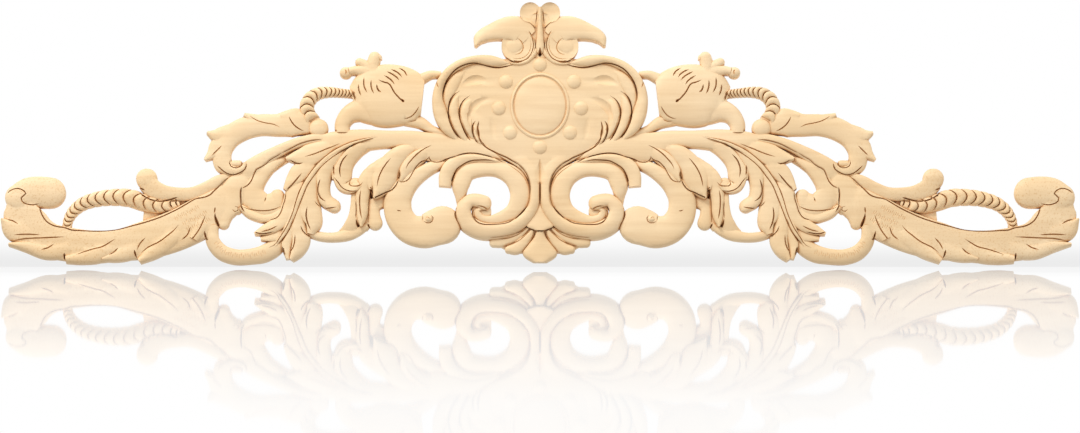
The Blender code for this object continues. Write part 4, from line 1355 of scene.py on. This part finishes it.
# %% Stand the wall
WALL_BEHIND, WALL_SIZE = 0.3, 8.0
wall_place = (0, WALL_BEHIND, low_corner.z + WALL_BEHIND * np.tan(LEAN))
wall = paper_square("white_wall", WALL_SIZE, WALL_SIZE, np.pi / 2, wall_place)
wall_ends = (0, FADE_LENGTH / WALL_SIZE, 0, 1)
# painted shadow: the wall glows grey at its foot and white above
wall_painted_shadow = ((0, SHADE), (0.007, 0.87), (0.014, 0.95), (0.026, 1.0))
paper, tree, far, glow, output = stage_material("white wall paper", wall_ends, wall_painted_shadow)
tree.links.new(glow.outputs[0], output.inputs["Surface"])
wall.data.materials.append(paper)
print("the wall stands", WALL_BEHIND, "m behind the ornament")

# %% [markdown]
# ## The light of a white room
#
# The room glows from all sides, more from above, so every form is lit softly and its lower side is
# a little darker. That grading counts for the wood alone: a camera or mirror ray sees plain white.
# One soft box from the upper left adds the faint shadows that tell the relief.

# %% Light the room
world = bpy.data.worlds.new("white room")
bpy.context.scene.world = world
world.use_nodes = True
sky = world.node_tree
room = sky.nodes["Background"]
room.inputs["Color"].default_value = (1, 1, 1, 1)
facing = sky.nodes.new("ShaderNodeSeparateXYZ")
sky.links.new(sky.nodes.new("ShaderNodeTexCoord").outputs["Generated"], facing.inputs[0])
upward = sky.nodes.new("ShaderNodeMapRange")
for label, value in (("From Min", -1), ("From Max", 1), ("To Min", 0.44), ("To Max", 1.12)):
    upward.inputs[label].default_value = value
sky.links.new(facing.outputs["Z"], upward.inputs["Value"])
kind = sky.nodes.new("ShaderNodeLightPath")
level = sky.nodes.new("ShaderNodeMix")
level.inputs["A"].default_value = 1.0
sky.links.new(kind.outputs["Is Diffuse Ray"], level.inputs["Factor"])
sky.links.new(upward.outputs["Result"], level.inputs["B"])
sky.links.new(level.outputs["Result"], room.inputs["Strength"])


def soft_light(name, place, aim, size, watts):
    """A square soft box that looks at a point."""
    lamp = bpy.data.lights.new(name, "AREA")
    lamp.shape = "SQUARE"
    lamp.size = size
    lamp.energy = watts
    box = bpy.data.objects.new(name, lamp)
    bpy.context.scene.collection.objects.link(box)
    box.location = place
    box.rotation_euler = (Vector(aim) - Vector(place)).to_track_quat("-Z", "Y").to_euler()
    return box


key = soft_light("key light", (-0.8, -1.3, 1.6), (0, 0, 0), 0.8, 28)
print("the soft box hangs at", [round(value, 1) for value in key.location])

# %% [markdown]
# ## The camera
#
# The picture shows almost no perspective, so the camera stands far off with a long lens. One step of
# the drawing is one pixel of the picture, which gives the lens. The ornament fills the upper part
# and its mirror picture the lower, which a small shift of the lens does without a tilt.

# %% Place the camera
DISTANCE = 9.0
PICTURE_WIDE, PICTURE_HIGH = 1080, 433
OBJECT_CENTRE_ROW = 133.5
HALF_DEPTH = 0.009
camera_data = bpy.data.cameras.new("camera")
camera = bpy.data.objects.new("camera", camera_data)
bpy.context.scene.collection.objects.link(camera)
bpy.context.scene.camera = camera
back = Vector((0, -np.cos(LEAN), -np.sin(LEAN)))
middle = Vector((0, -HALF_DEPTH, (low_corner.z + high_corner.z) / 2))
camera.location = middle + back * DISTANCE
camera.rotation_euler = (-back).to_track_quat("-Z", "Y").to_euler()
camera_data.sensor_width = 36.0
camera_data.lens = camera_data.sensor_width * DISTANCE / (PICTURE_WIDE * STEP)
camera_data.shift_y = -(PICTURE_HIGH / 2 - OBJECT_CENTRE_ROW) / PICTURE_WIDE
camera_data.clip_end = 100
bpy.context.scene.view_settings.view_transform = "Standard"
bpy.context.scene.cycles.use_denoising = True
print("lens, mm:", round(camera_data.lens, 1))
